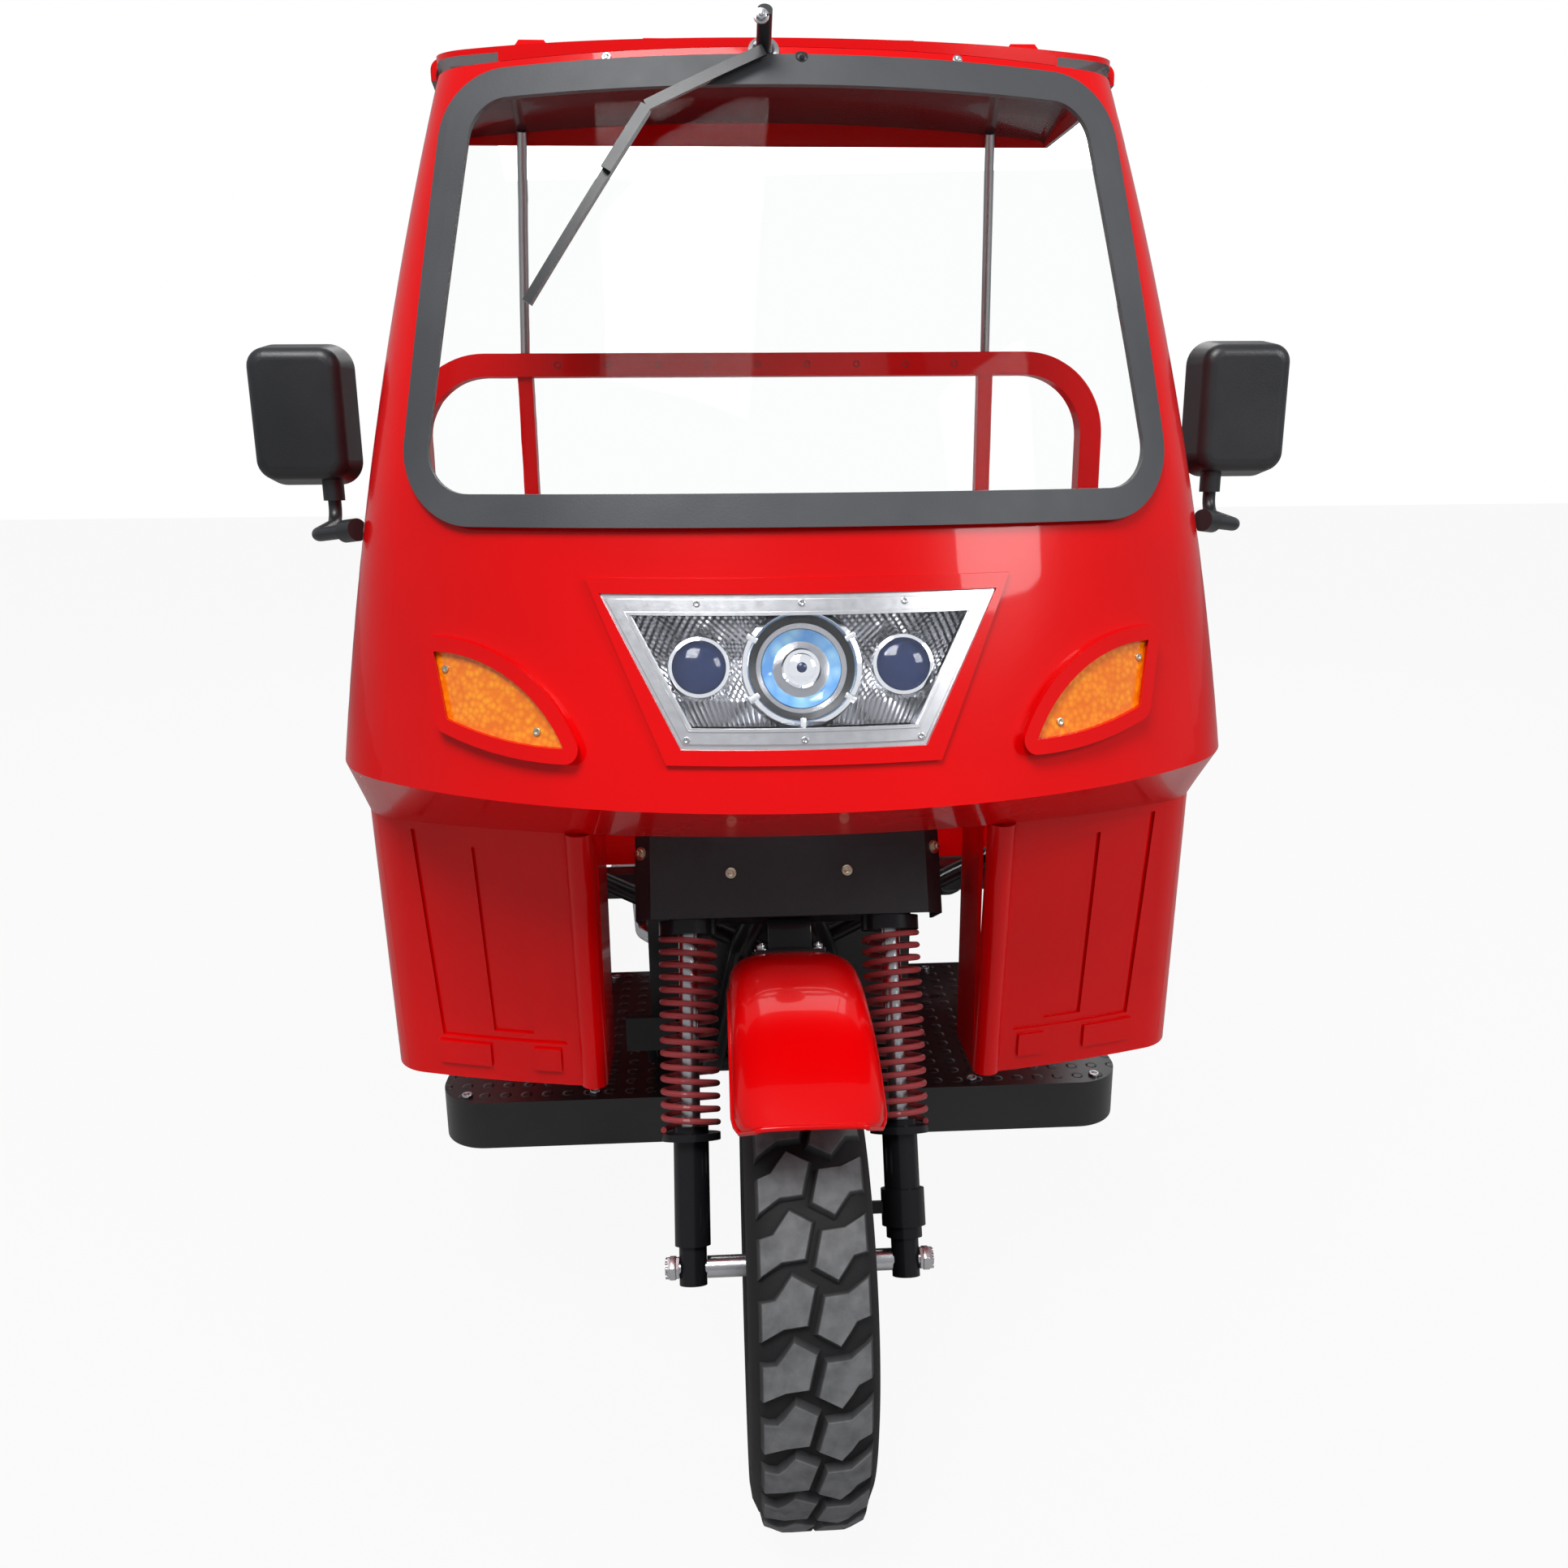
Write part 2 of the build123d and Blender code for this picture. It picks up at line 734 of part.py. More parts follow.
def crown():
    """Two clamp plates and the stem that joins them through the head tube."""
    half = LEG_SPACING / 2
    reach = half + 2 * STANCHION_RADIUS
    tongue = STEM_OFFSET + 2 * STEM_RADIUS
    outline = [
        (-reach, -CAP_RADIUS),
        (reach, -CAP_RADIUS),
        (reach, CAP_RADIUS),
        (2 * STEM_RADIUS, tongue),
        (-2 * STEM_RADIUS, tongue),
        (-reach, CAP_RADIUS),
    ]
    plate = make_face(Polyline(*outline, close=True))
    plate = extrude(fillet(plate.vertices(), STEM_RADIUS), CROWN_THICK)
    piece = Pos(0, 0, CROWN_BOTTOM) * plate + Pos(0, 0, CROWN_TOP - CROWN_THICK) * plate
    piece += Pos(0, STEM_OFFSET, 0) * upright(STEM_RADIUS, CROWN_BOTTOM, CROWN_TOP)
    for x in (-half, half):
        piece += Pos(x, 0, 0) * upright(STANCHION_RADIUS, CROWN_BOTTOM, CROWN_TOP)
    return FORK * piece


def front_axle():
    """Axle with a hexagon nut at each end and a spacer each side of the hub."""
    foot = LEG_SPACING / 2 + FOOT_RADIUS + TOUCH
    half = foot + AXLE_NUT_LENGTH + AXLE_TAIL
    axle = bar(0, TYRE_RADIUS, half, AXLE_RADIUS)
    nut = extrude(RegularPolygon(AXLE_NUT_RADIUS, 6), AXLE_NUT_LENGTH / 2, both=True)
    for side, hub in ((1, DRUM_DEPTH), (-1, RIM_WIDTH / 2)):
        axle += Pos(side * (foot + AXLE_NUT_LENGTH / 2), 0, TYRE_RADIUS) * Rot(0, 90, 0) * nut
        near = (side * (hub + TOUCH), 0, TYRE_RADIUS)
        far = (side * (LEG_SPACING / 2 - FOOT_RADIUS - TOUCH), 0, TYRE_RADIUS)
        axle += cylinder(near, far, SPACER_RADIUS)
    return axle


def brake_plate():
    """Fixed plate that closes the drum, with the link that ties it to the leg at +x."""
    face = DRUM_DEPTH + PLATE_GAP
    plate = cylinder((face, 0, 0), (face + PLATE_WALL, 0, 0), DRUM_RADIUS)
    plate += block((face, -LINK_HALF, LINK_HEIGHT - LINK_HALF),
                   (LEG_SPACING / 2, LINK_HALF, LINK_HEIGHT + LINK_HALF))
    clamp = upright(LEG_RADIUS + CLAMP_BAND, LINK_HEIGHT - LEG_RADIUS, LINK_HEIGHT + LEG_RADIUS)
    leg = upright(LEG_RADIUS + FIT, 0, LEG_TOP)
    plate += Pos(LEG_SPACING / 2, 0, 0) * clamp
    plate -= Pos(LEG_SPACING / 2, 0, 0) * leg
    return FORK * (plate - cylinder((0, 0, 0), (LEG_SPACING, 0, 0), SPACER_RADIUS + FIT))


def domed(half, low, high, round_radius):
    """Section of the front mudguard, as a filled face of x and radius."""
    face = make_face(Polyline((-half, low), (half, low), (half, high), (-half, high), close=True))
    return fillet(face.vertices().sort_by(Axis.Y)[-2:], round_radius)


def fender():
    """Domed guard round the tyre, hung from the lower crown."""
    radius = TYRE_RADIUS + FENDER_GAP
    inner = radius - FENDER_WALL
    section = domed(FENDER_HALF, radius - FENDER_CROWN, radius, FENDER_ROUND)
    section -= domed(FENDER_HALF - FENDER_WALL, inner - 2 * FENDER_CROWN, inner, FENDER_ROUND - FENDER_WALL)
    arc = revolve(section, Axis.X, revolution_arc=FENDER_REAR_ANGLE - FENDER_FRONT_ANGLE)
    guard = Pos(0, 0, TYRE_RADIUS) * Rot(180 - FENDER_REAR_ANGLE, 0, 0) * arc
    bracket = block((-FENDER_BRACKET, -STANCHION_RADIUS, inner),
                    (FENDER_BRACKET, STANCHION_RADIUS, CROWN_BOTTOM - TOUCH))
    return guard + FORK * bracket


def fork_cover():
    """Black moulded cover round the front of the two crowns, open behind."""
    front = -CAP_RADIUS - COVER_WALL - TOUCH
    back = front + COVER_RUN
    outline = [
        (-COVER_HALF, back),
        (-COVER_HALF, front + COVER_BEVEL),
        (-COVER_FACE, front),
        (COVER_FACE, front),
        (COVER_HALF, front + COVER_BEVEL),
        (COVER_HALF, back),
    ]
    face = make_face(Polyline(*outline, close=True))
    shell = extrude(face - offset(face, amount=-COVER_WALL), COVER_HEIGHT)
    inner = COVER_HALF - COVER_WALL
    shell -= block((-inner, back - 2 * COVER_WALL, -OVERRUN), (inner, back + OVERRUN, COVER_HEIGHT + OVERRUN))
    return FORK * Pos(0, 0, CROWN_BOTTOM + TOUCH) * shell


def handlebar():
    """Riser on the stem, bent bar and two grips."""
    base = (0, STEM_OFFSET, CROWN_TOP + TOUCH)
    riser = cylinder(base, (0, STEM_OFFSET, CROWN_TOP + BAR_RISE + BAR_RADIUS), STEM_RADIUS)
    left = [(BAR_HALF * x, STEM_OFFSET + BAR_SWEEP * y, CROWN_TOP + BAR_RISE + BAR_LIFT * z)
            for x, y, z in BAR_PATH_SHARES]
    right = [(-x, y, z) for x, y, z in reversed(left)]
    tube = bent_tube(right + left, BAR_RADIUS, BAR_BEND)
    end = Vector(*left[-1])
    run = (Vector(*left[-2]) - end).normalized() * GRIP_LENGTH
    grip = cylinder(end + run, end, GRIP_RADIUS)
    return FORK * (riser + tube + grip + mirrored(grip))


def gauge():
    """Round instrument on top of the riser, its face sunk in a bezel."""
    base = CROWN_TOP + BAR_RISE + BAR_RADIUS + TOUCH
    body = upright(GAUGE_RADIUS, base, base + GAUGE_DEPTH)
    body -= upright(GAUGE_RADIUS - GAUGE_BEZEL, base + GAUGE_DEPTH - GAUGE_BEZEL, base + 2 * GAUGE_DEPTH)
    return FORK * Pos(0, STEM_OFFSET, 0) * body


def steering():
    parts["fork_legs"] = leg_pair(fork_leg())
    parts["fork_springs"] = leg_pair(coil_spring())
    parts["fork_stanchions"] = leg_pair(upright(STANCHION_RADIUS, LEG_TOP, CROWN_BOTTOM))
    parts["fork_caps"] = leg_pair(spring_cap())
    parts["fork_crown"] = crown()
    parts["fork_cover"] = fork_cover()
    parts["front_axle"] = front_axle()
    parts["brake_plate"] = brake_plate()
    parts["front_fender"] = fender()
    parts["handlebar"] = handlebar()
    parts["gauge"] = gauge()


# Cabin


def windshield_prism(grow):
    """Prism with rounded corners through the windshield, its outline moved outwards by grow."""
    points = trapezoid(GLASS_HALF_BOTTOM + grow, GLASS_HALF_TOP + grow, GLASS_BOTTOM - grow, GLASS_TOP + grow)
    face = make_face(Polyline(*points, close=True))
    return forward(fillet(face.vertices(), GLASS_CORNER + grow))


def lamp_prism(inset):
    """Prism through the headlamp's opening, its outline moved inwards by inset."""
    return front_prism(trapezoid(LAMP_HALF_BOTTOM - inset, LAMP_HALF_TOP - inset,
                                 LAMP_BOTTOM + inset, LAMP_TOP - inset))


def signal_prism(grow):
    """Prism through the turn signal at +x, its outline moved outwards by grow."""
    low = (SIGNAL_TIP, CREASE_HEIGHT + SIGNAL_RISE)
    high = (SIGNAL_TIP + SIGNAL_WIDTH, CREASE_HEIGHT + SIGNAL_RISE + SIGNAL_HEIGHT)
    heel = between(low, high, SIGNAL_HEEL_SHARES)
    edges = [
        Line(heel, high),
        ThreePointArc(high, between(low, high, SIGNAL_CROWN_SHARES), low),
        ThreePointArc(low, between(low, high, SIGNAL_FOOT_SHARES), heel),
    ]
    face = make_face(edges)
    if grow:
        face = offset(face, amount=grow, kind=Kind.ARC)
    return forward(face)


def shield_prisms(shares):
    """Prisms through both leg shields, from shares of the width and height of the one at +x."""
    low = (ARCH_HALF, BELLY_HEIGHT)
    high = (ARCH_HALF + SHIELD_WIDTH, CHIN_HEIGHT)
    prism = front_prism([between(low, high, share) for share in shares])
    return prism + mirrored(prism)


def pressed(panel, prism, depth):
    """A panel with the stretch inside a prism pressed straight back by depth."""
    return (panel - prism) + (Pos(0, depth, 0) * panel & prism)


def front_side(y_foot, y_waist, y_neck, y_head):
    """Everything in front of a line up the cabin's side, as a prism."""
    low = BELLY_HEIGHT - OVERRUN
    high = HEADER_HEIGHT + OVERRUN
    front = CREASE["front"] - OVERRUN
    line = [(y_foot, low), (y_waist, CREASE_HEIGHT), (y_neck, SILL_HEIGHT), (y_head, high)]
    return side_prism([(front, low), *line, (front, high)], BOX_HALF)


def cabin_shell():
    """Cabin shell with its openings, before it is split at the seams."""
    shell = (upper_body(0) + lower_body(0)) - upper_body(-SKIN) - lower_body(-SKIN)
    edge = ARCH_HALF + ROLL_RADIUS
    shell -= front_prism(trapezoid(edge, edge, BELLY_HEIGHT - OVERRUN, CHIN_HEIGHT))
    return shell - windshield_prism(0) - lamp_prism(0)


def shield_edge():
    """Rolled inner edge of the leg shield at +x, turned back as a flange beside the wheel."""
    x = ARCH_HALF + ROLL_RADIUS
    foot = (x, front_y(BELLY, x) + ROLL_RADIUS / 2, BELLY_HEIGHT)
    head = (x, front_y(CHIN, x) + ROLL_RADIUS / 2, CHIN_HEIGHT)
    roll = cylinder(foot, head, ROLL_RADIUS)
    slice_low = (ARCH_HALF, CREASE["front"], BELLY_HEIGHT)
    roll = roll & block(slice_low, (ARCH_HALF + 2 * ROLL_RADIUS, PRISM_BACK, CHIN_HEIGHT))
    flange = block((ARCH_HALF, foot[1], BELLY_HEIGHT),
                   (ARCH_HALF + FLANGE_WALL, SEAM_FOOT + FLANGE_DEPTH, CHIN_HEIGHT))
    wedge = [(foot[1], BELLY_HEIGHT), (PRISM_BACK, BELLY_HEIGHT)]
    wedge += [(PRISM_BACK, CHIN_HEIGHT), (head[1], CHIN_HEIGHT)]
    return roll + (flange & side_prism(wedge, BOX_HALF))


def cabin():
    shell = cabin_shell()
    seam = front_side(SEAM_FOOT, SEAM_FOOT, (SEAM_FOOT + SEAM_HEAD) / 2, SEAM_HEAD)
    door = front_side(DOOR_FOOT, DOOR_WAIST, DOOR_NECK, DOOR_HEAD)
    panel = pressed(shell & seam, shield_prisms(RECESS_SHARES), PRESS_DEPTH)
    panel = pressed(panel, shield_prisms(GROOVE_SHARES), PRESS_DEPTH)
    for shares in BAR_SHARES:
        panel = pressed(panel, shield_prisms(shares), -PRESS_DEPTH)
    edge = shield_edge()
    pod = skin(POD_PROUD, 0) & signal_prism(POD_MARGIN)
    brow = (skin(BROW_PROUD, 0) & lamp_prism(-BROW_WIDTH)) - lamp_prism(0)
    panel = panel + edge + mirrored(edge) + pod + mirrored(pod) + brow
    hole = signal_prism(0)
    parts["cab_front_panel"] = panel - hole - mirrored(hole) - lamp_prism(0)
    sides = (shell & door) - (Pos(0, SEAM_GAP, 0) * seam)
    left = block((0, CREASE["front"], 0), (BOX_HALF, SHELL_BACK, HOOP_TOP))
    parts["cab_side_left"] = sides & left
    parts["cab_side_right"] = sides & mirrored(left)
    parts["windshield"] = skin(-GLASS_INSET, GLASS_INSET + GLASS_THICK) & windshield_prism(-FIT)
    band = skin(GASKET_PROUD, 0) & windshield_prism(GASKET_BAND)
    lap = skin(GASKET_PROUD, GLASS_INSET) & windshield_prism(-FIT)
    parts["windshield_gasket"] = (band + lap) - windshield_prism(-GASKET_LAP)
    parts["turn_signals"] = both_sides(skin(SIGNAL_PROUD, SIGNAL_DEEP) & signal_prism(-FIT))


def roof_station(share):
    """Sizes of the roof at one row of shares: y, half width, crown, lip, bow and edge radius."""
    way, half_width, crown, lip, bow, edge = share
    y = HEADER["front"] - ROOF_SETBACK + way * ROOF_LENGTH
    top = HEADER_HEIGHT + crown * ROOF_RISE
    bottom = HEADER_HEIGHT + TOUCH + lip * ROOF_RISE
    return y, half_width * ROOF_HALF, top, bottom, bow * ROOF_BOW, edge * ROOF_EDGE


def roof_top(share, x):
    """Height of the roof's outer surface at x, at one row of shares."""
    y, half_width, top, bottom, bow, edge = roof_station(share)
    return top - bow + math.sqrt(bow**2 - x**2)


def roof_loft(wall, deeper):
    """Solid under the roof's outer surface less a wall, closed below the lip."""
    sections = []
    for share in ROOF_SHARES:
        y, half_width, top, bottom, bow, edge = roof_station(share)
        face = bowed_outline(half_width - wall, bow, edge, top - bottom + deeper)
        sections.append(Plane(origin=(0, y, top - wall), x_dir=(1, 0, 0), z_dir=(0, -1, 0)) * face)
    return loft(sections)


def roof_rib(x):
    """Raised rib along the roof at x, with sloping flanks."""
    sections = []
    for share in ROOF_SHARES:
        base = roof_top(share, x) - ROOF_WALL / 2
        top = roof_top(share, x) + ROOF_RIB_HEIGHT
        face = make_face(Polyline(*trapezoid(ROOF_RIB_BASE, ROOF_RIB_CROWN, base, top), close=True))
        place = Plane(origin=(x, roof_station(share)[0], 0), x_dir=(1, 0, 0), z_dir=(0, -1, 0))
        sections.append(place * face)
    start = HEADER["front"] - ROOF_SETBACK
    span = block((-BOX_HALF, start + ROOF_RIB_FRONT, 0), (BOX_HALF, start + ROOF_RIB_REAR, 2 * HOOP_TOP))
    return loft(sections) & span


def roof():
    """Sheet roof, open below, with raised ribs and a front edge that follows the windshield's header."""
    first = roof_station(ROOF_SHARES[0])[0]
    last = roof_station(ROOF_SHARES[-1])[0]
    inner = roof_loft(ROOF_WALL, OVERRUN)
    span = block((-BOX_HALF, first + ROOF_HEADER, 0), (BOX_HALF, last - ROOF_WALL, 2 * HOOP_TOP))
    shell = roof_loft(0, 0) - (inner & span)
    for index in range(ROOF_RIBS):
        shell += roof_rib((index - (ROOF_RIBS - 1) / 2) * ROOF_RIB_PITCH) - inner
    face = Pos(0, 0, TOUCH) * plan_section(**HEADER, grow=0)
    front = extrude(face, HEADER_HEIGHT, dir=(0, 0, 1))
    rear = block((-BOX_HALF, (first + SHELL_BACK) / 2, HEADER_HEIGHT + TOUCH),
                 (BOX_HALF, 2 * last, 2 * HOOP_TOP))
    return shell & (front + rear)


def roof_and_stays():
    parts["cab_roof"] = roof()
    rear = ROOF_SHARES[-1]
    x = STAY_SHARE * ROOF_HALF
    top = (x, roof_station(rear)[0] - OVERRUN, roof_top(rear, x) - ROOF_WALL)
    foot = (HOOP_POST_X, BOX_FRONT + HOOP_TUBE / 2, HOOP_TOP - HOOP_TUBE / 2)
    stay = cylinder(foot, top, STAY_RADIUS) - parts["cab_roof"] - parts["cargo_headboard"]
    parts["roof_stays"] = both_sides(stay.solids().sort_by(SortBy.VOLUME)[-1])


def strip(start, end, half_width):
    """Outline of a straight strip in the front view, from points of x and z."""
    run = Vector(end[0] - start[0], end[1] - start[1]).normalized() * half_width
    return [
        (start[0] - run.Y, start[1] + run.X),
        (start[0] + run.Y, start[1] - run.X),
        (end[0] + run.Y, end[1] - run.X),
        (end[0] - run.Y, end[1] + run.X),
    ]


def wiper():
    """Arm from the pivot on the header to the blade that lies on the glass."""
    pivot = (WIPER_X, HEADER_HEIGHT - WIPER_DROP)
    foot = (WIPER_X - BLADE_RUN, HEADER_HEIGHT - WIPER_DROP - BLADE_DROP)
    top, link, end = [between(pivot, foot, share) for share in BLADE_SHARES]
    blade = front_prism(strip(top, end, BLADE_HALF))
    parts["wiper_blade"] = blade & (upper_body(ARM_LIFT - TOUCH) - upper_body(TOUCH - GLASS_INSET))
    arm = front_prism(strip(pivot, top, ARM_HALF)) + front_prism(strip(top, link, ARM_HALF))
    arm = arm & (upper_body(ARM_LIFT + ARM_THICK) - upper_body(ARM_LIFT))
    tilt = math.radians(WIPER_POST_TILT)
    root = (WIPER_X, HEADER["front"], HEADER_HEIGHT - WIPER_DROP)
    rise = Vector(0, -math.cos(tilt), math.sin(tilt)) * WIPER_POST_LENGTH
    arm += cylinder(root, Vector(*root) + rise, WIPER_POST_RADIUS)
    parts["wiper_arm"] = arm - upper_body(TOUCH) - parts["windshield_gasket"]


def mirrors():
    """Tapered heads with a sunk glass, each on a bent arm from the cabin's sill."""
    x = SILL["half_width"] + MIRROR_REACH
    z = SILL_HEIGHT + MIRROR_RISE
    root = (SILL["half_width"], MIRROR_ROOT_Y, SILL_HEIGHT - MIRROR_ROOT_DROP)
    foot = (x - MIRROR_STALK_INSET, MIRROR_Y + MIRROR_DEPTH / 2, z - MIRROR_HALF_HEIGHT + MIRROR_TAPER)
    knee = (*between(root[:2], foot[:2], MIRROR_KNEE_SHARES), root[2] - MIRROR_ARM_RADIUS)
    elbow = (foot[0], foot[1], root[2])
    socket = between(root, knee, [MIRROR_SOCKET_SHARE] * len(root))
    arm = bent_tube([root, knee, elbow, foot], MIRROR_ARM_RADIUS, MIRROR_BEND)
    arm += cylinder(root, socket, MIRROR_SOCKET_RADIUS)
    arm += cylinder((foot[0], foot[1], foot[2] - MIRROR_BOSS), foot, MIRROR_SOCKET_RADIUS)
    front = Plane(origin=(x, MIRROR_Y, z), x_dir=(1, 0, 0), z_dir=(0, -1, 0))
    wide = RectangleRounded(2 * MIRROR_HALF_WIDTH, 2 * MIRROR_HALF_HEIGHT, MIRROR_CORNER)
    narrow = offset(wide, amount=-MIRROR_TAPER)
    head = loft([front * narrow, Pos(0, MIRROR_DEPTH, 0) * (front * wide)])
    head = fillet(head.faces().sort_by(Axis.Y)[0].edges(), MIRROR_EDGE)
    parts["mirror_arms"] = both_sides(arm - upper_body(TOUCH) - head)
    back = Pos(0, MIRROR_DEPTH - MIRROR_RIM / 2, 0)
    recess = offset(wide, amount=-MIRROR_RIM)
    head -= extrude(back * (front * recess), amount=-MIRROR_RIM)
    glass = extrude(back * (front * offset(recess, amount=-FIT)), amount=-MIRROR_RIM / 2 + FIT)
    parts["mirror_heads"] = both_sides(head)
    parts["mirror_glasses"] = both_sides(glass)


def headlamp():
    """Bowl behind the cabin's front, three ringed projectors in it, closed by a clear lens."""
    body = layer(LAMP_PROUD, LAMP_DEPTH) & lamp_prism(FIT)
    parts["headlamp_housing"] = body - (layer(OVERRUN, POCKET_DEPTH) & lamp_prism(LAMP_BORDER))
    parts["headlamp_lens"] = skin(LAMP_PROUD, LAMP_LENS) & lamp_prism(LAMP_BORDER + FIT)
    rings = []
    bulbs = []
    for x, radius in ((-SMALL_SPACING, SMALL_RADIUS), (0, BIG_RADIUS), (SMALL_SPACING, SMALL_RADIUS)):
        back = (x, PRISM_BACK / 2, LAMP_CENTRE)
        front = (x, CREASE["front"] - OVERRUN, LAMP_CENTRE)
        rod = cylinder(back, front, radius)
        tube = cylinder(back, front, radius + RING_WALL)
        rings.append((tube & layer(-RING_SETBACK, POCKET_DEPTH - FIT)) - rod)
        bulbs.append(rod & layer(-RING_SETBACK - PROJECTOR_CROWN, POCKET_DEPTH - FIT))
    parts["headlamp_projectors"] = Compound(rings)
    parts["headlamp_bulbs"] = Compound(bulbs)


# Chassis, axle and drive


def chassis():
    """Two rails with box cross members, and hangers for the rear springs."""
    rail = block((RAIL_X - RAIL_WIDTH / 2, RAIL_FRONT, RAIL_TOP - RAIL_HEIGHT),
                 (RAIL_X + RAIL_WIDTH / 2, RAIL_REAR, RAIL_TOP))
    frame = rail + mirrored(rail)
    hanger_x = SPRING_X + LEAF_WIDTH / 2 + HANGER_WALL
    behind_seat = SEAT_REAR - CROSS_TUBE
    first_hanger = WHEELBASE - LEAF_HALF
    members = [
        (RAIL_FRONT, SEAT_HALF),
        (behind_seat, RAIL_X),
        (behind_seat + MID_MEMBER_SHARE * (first_hanger - behind_seat), RAIL_X),
        (first_hanger, hanger_x),
        (WHEELBASE + LEAF_HALF, hanger_x),
        (RAIL_REAR - CROSS_TUBE, TAIL_HALF),
    ]
    for y, half in members:
        frame += block((-half, y - CROSS_TUBE, RAIL_TOP - 2 * CROSS_TUBE), (half, y + CROSS_TUBE, RAIL_TOP))
    low = RAIL_TOP - HANGER_DROP
    inner_x = SPRING_X - LEAF_WIDTH / 2
    for y in (first_hanger, WHEELBASE + LEAF_HALF):
        hanger = block((inner_x - HANGER_WALL, y - HANGER_HALF, low), (hanger_x, y + HANGER_HALF, RAIL_TOP))
        hanger -= block((inner_x - TOUCH, y - 2 * HANGER_HALF, low - OVERRUN),
                        (hanger_x - HANGER_WALL + TOUCH, y + 2 * HANGER_HALF, low + HANGER_SLOT))
        frame = frame + hanger + mirrored(hanger)
    parts["chassis_frame"] = frame


def cradle_path():
    """Centre line of the tube at +x from the head down under the engine and up to the rail."""
    start = weld_point(-TUBE_RISE)
    front = (CRADLE_X, CRADLE_FRONT, CRADLE_Z)
    end = (RAIL_X, CRADLE_REAR + CRADLE_RUN, RAIL_TOP - RAIL_HEIGHT / 2)
    return [start, between(start, front, CRADLE_KNEE_SHARES), front, (CRADLE_X, CRADLE_REAR, CRADLE_Z), end]


def weld_point(rise):
    """Where a frame tube at +x meets the back of the head tube."""
    return tuple(fork_point(TUBE_SPLAY, STEM_OFFSET + HEAD_RADIUS * WELD_SHARE, HEAD_MIDDLE + rise))


def cabin_carrier():
    """V-shaped tube across the frame with an ear each side inside the cabin's panels."""
    high = CARRIER_Z + CARRIER_RISE * CARRIER_REACH
    ends = [(x, CARRIER_Y, high) for x in (-CARRIER_REACH, CARRIER_REACH)]
    tube = bent_tube([ends[0], (0, CARRIER_Y, CARRIER_Z), ends[1]], CARRIER_RADIUS, CARRIER_BEND)
    ear = block((CARRIER_REACH - CARRIER_RADIUS, CARRIER_Y - EAR_LENGTH, high - EAR_HALF),
                (BOX_HALF, CARRIER_Y + CARRIER_RADIUS, high + EAR_HALF))
    return (tube + ear + mirrored(ear)) & lower_body(-SKIN - TOUCH)


def front_frame():
    """Head tube, two upper tubes and a cradle, with the tubes that carry the cabin, boards and engine."""
    upper_end = (RAIL_X, RAIL_FRONT, RAIL_TOP - CROSS_TUBE)
    upper_start = weld_point(TUBE_RISE)
    upper = [upper_start, between(upper_start, upper_end, UPPER_KNEE_SHARES), upper_end]
    tube = bent_tube(upper, UPPER_RADIUS, UPPER_BEND) + bent_tube(cradle_path(), UPPER_RADIUS, CRADLE_BEND)
    frame = tube + mirrored(tube) + cabin_carrier()
    board_z = BOARD_TOP - BOARD_PLATE - OUTRIGGER_RADIUS - TOUCH
    for share in BOARD_TUBE_SHARES:
        y = BOARD_FRONT + share * (BOARD_REAR - BOARD_FRONT)
        frame += bar(y, board_z, BOARD_OUTER - BOARD_TUBE_INSET, OUTRIGGER_RADIUS)
    frame += bar(CRADLE_REAR - CRADLE_BEND / 2, CRADLE_Z, CRADLE_X, OUTRIGGER_RADIUS)
    low = CROWN_BOTTOM + CROWN_THICK + TOUCH
    high = CROWN_TOP - CROWN_THICK - TOUCH
    head = Pos(0, STEM_OFFSET, 0) * upright(HEAD_RADIUS, low, high)
    bore = Pos(0, STEM_OFFSET, 0) * upright(STEM_RADIUS + FIT, low - OVERRUN, high + OVERRUN)
    parts["front_frame"] = frame + FORK * head - FORK * bore - parts["chassis_frame"]


def leaf(level):
    """One leaf of the spring at +x, the longest first."""
    half = LEAF_HALF - level * LEAF_STEP
    bow = (LEAF_HALF**2 + LEAF_ARCH**2) / (2 * LEAF_ARCH)
    top = LEAF_BASE + (LEAF_COUNT - level) * LEAF_THICK
    tip = top + bow - math.sqrt(bow**2 - half**2)
    edges = [
        ThreePointArc((-half, tip), (0, top), (half, tip)),
        Line((half, tip), (half, tip - LEAF_THICK)),
        ThreePointArc((half, tip - LEAF_THICK), (0, top - LEAF_THICK), (-half, tip - LEAF_THICK)),
        Line((-half, tip - LEAF_THICK), (-half, tip)),
    ]
    plate = extrude(Plane.YZ * make_face(edges), amount=LEAF_WIDTH / 2, both=True)
    return Pos(SPRING_X, WHEELBASE, 0) * plate


def leaf_springs():
    """Six leaves each side, with rolled eyes and a clamp over the axle."""
    springs = leaf(0)
    for level in range(1, LEAF_COUNT):
        springs += leaf(level)
    inner_x = SPRING_X - LEAF_WIDTH / 2
    outer_x = SPRING_X + LEAF_WIDTH / 2
    for y in (WHEELBASE - LEAF_HALF, WHEELBASE + LEAF_HALF):
        springs += cylinder((inner_x, y, LEAF_EYE), (outer_x, y, LEAF_EYE), EYE_RADIUS)
    top = LEAF_BASE + LEAF_COUNT * LEAF_THICK
    springs += block((inner_x - CLAMP_WALL, WHEELBASE - CLAMP_HALF, LEAF_BASE - CLAMP_WALL),
                     (outer_x + CLAMP_WALL, WHEELBASE + CLAMP_HALF, top + CLAMP_WALL))
    parts["leaf_springs"] = both_sides(springs)


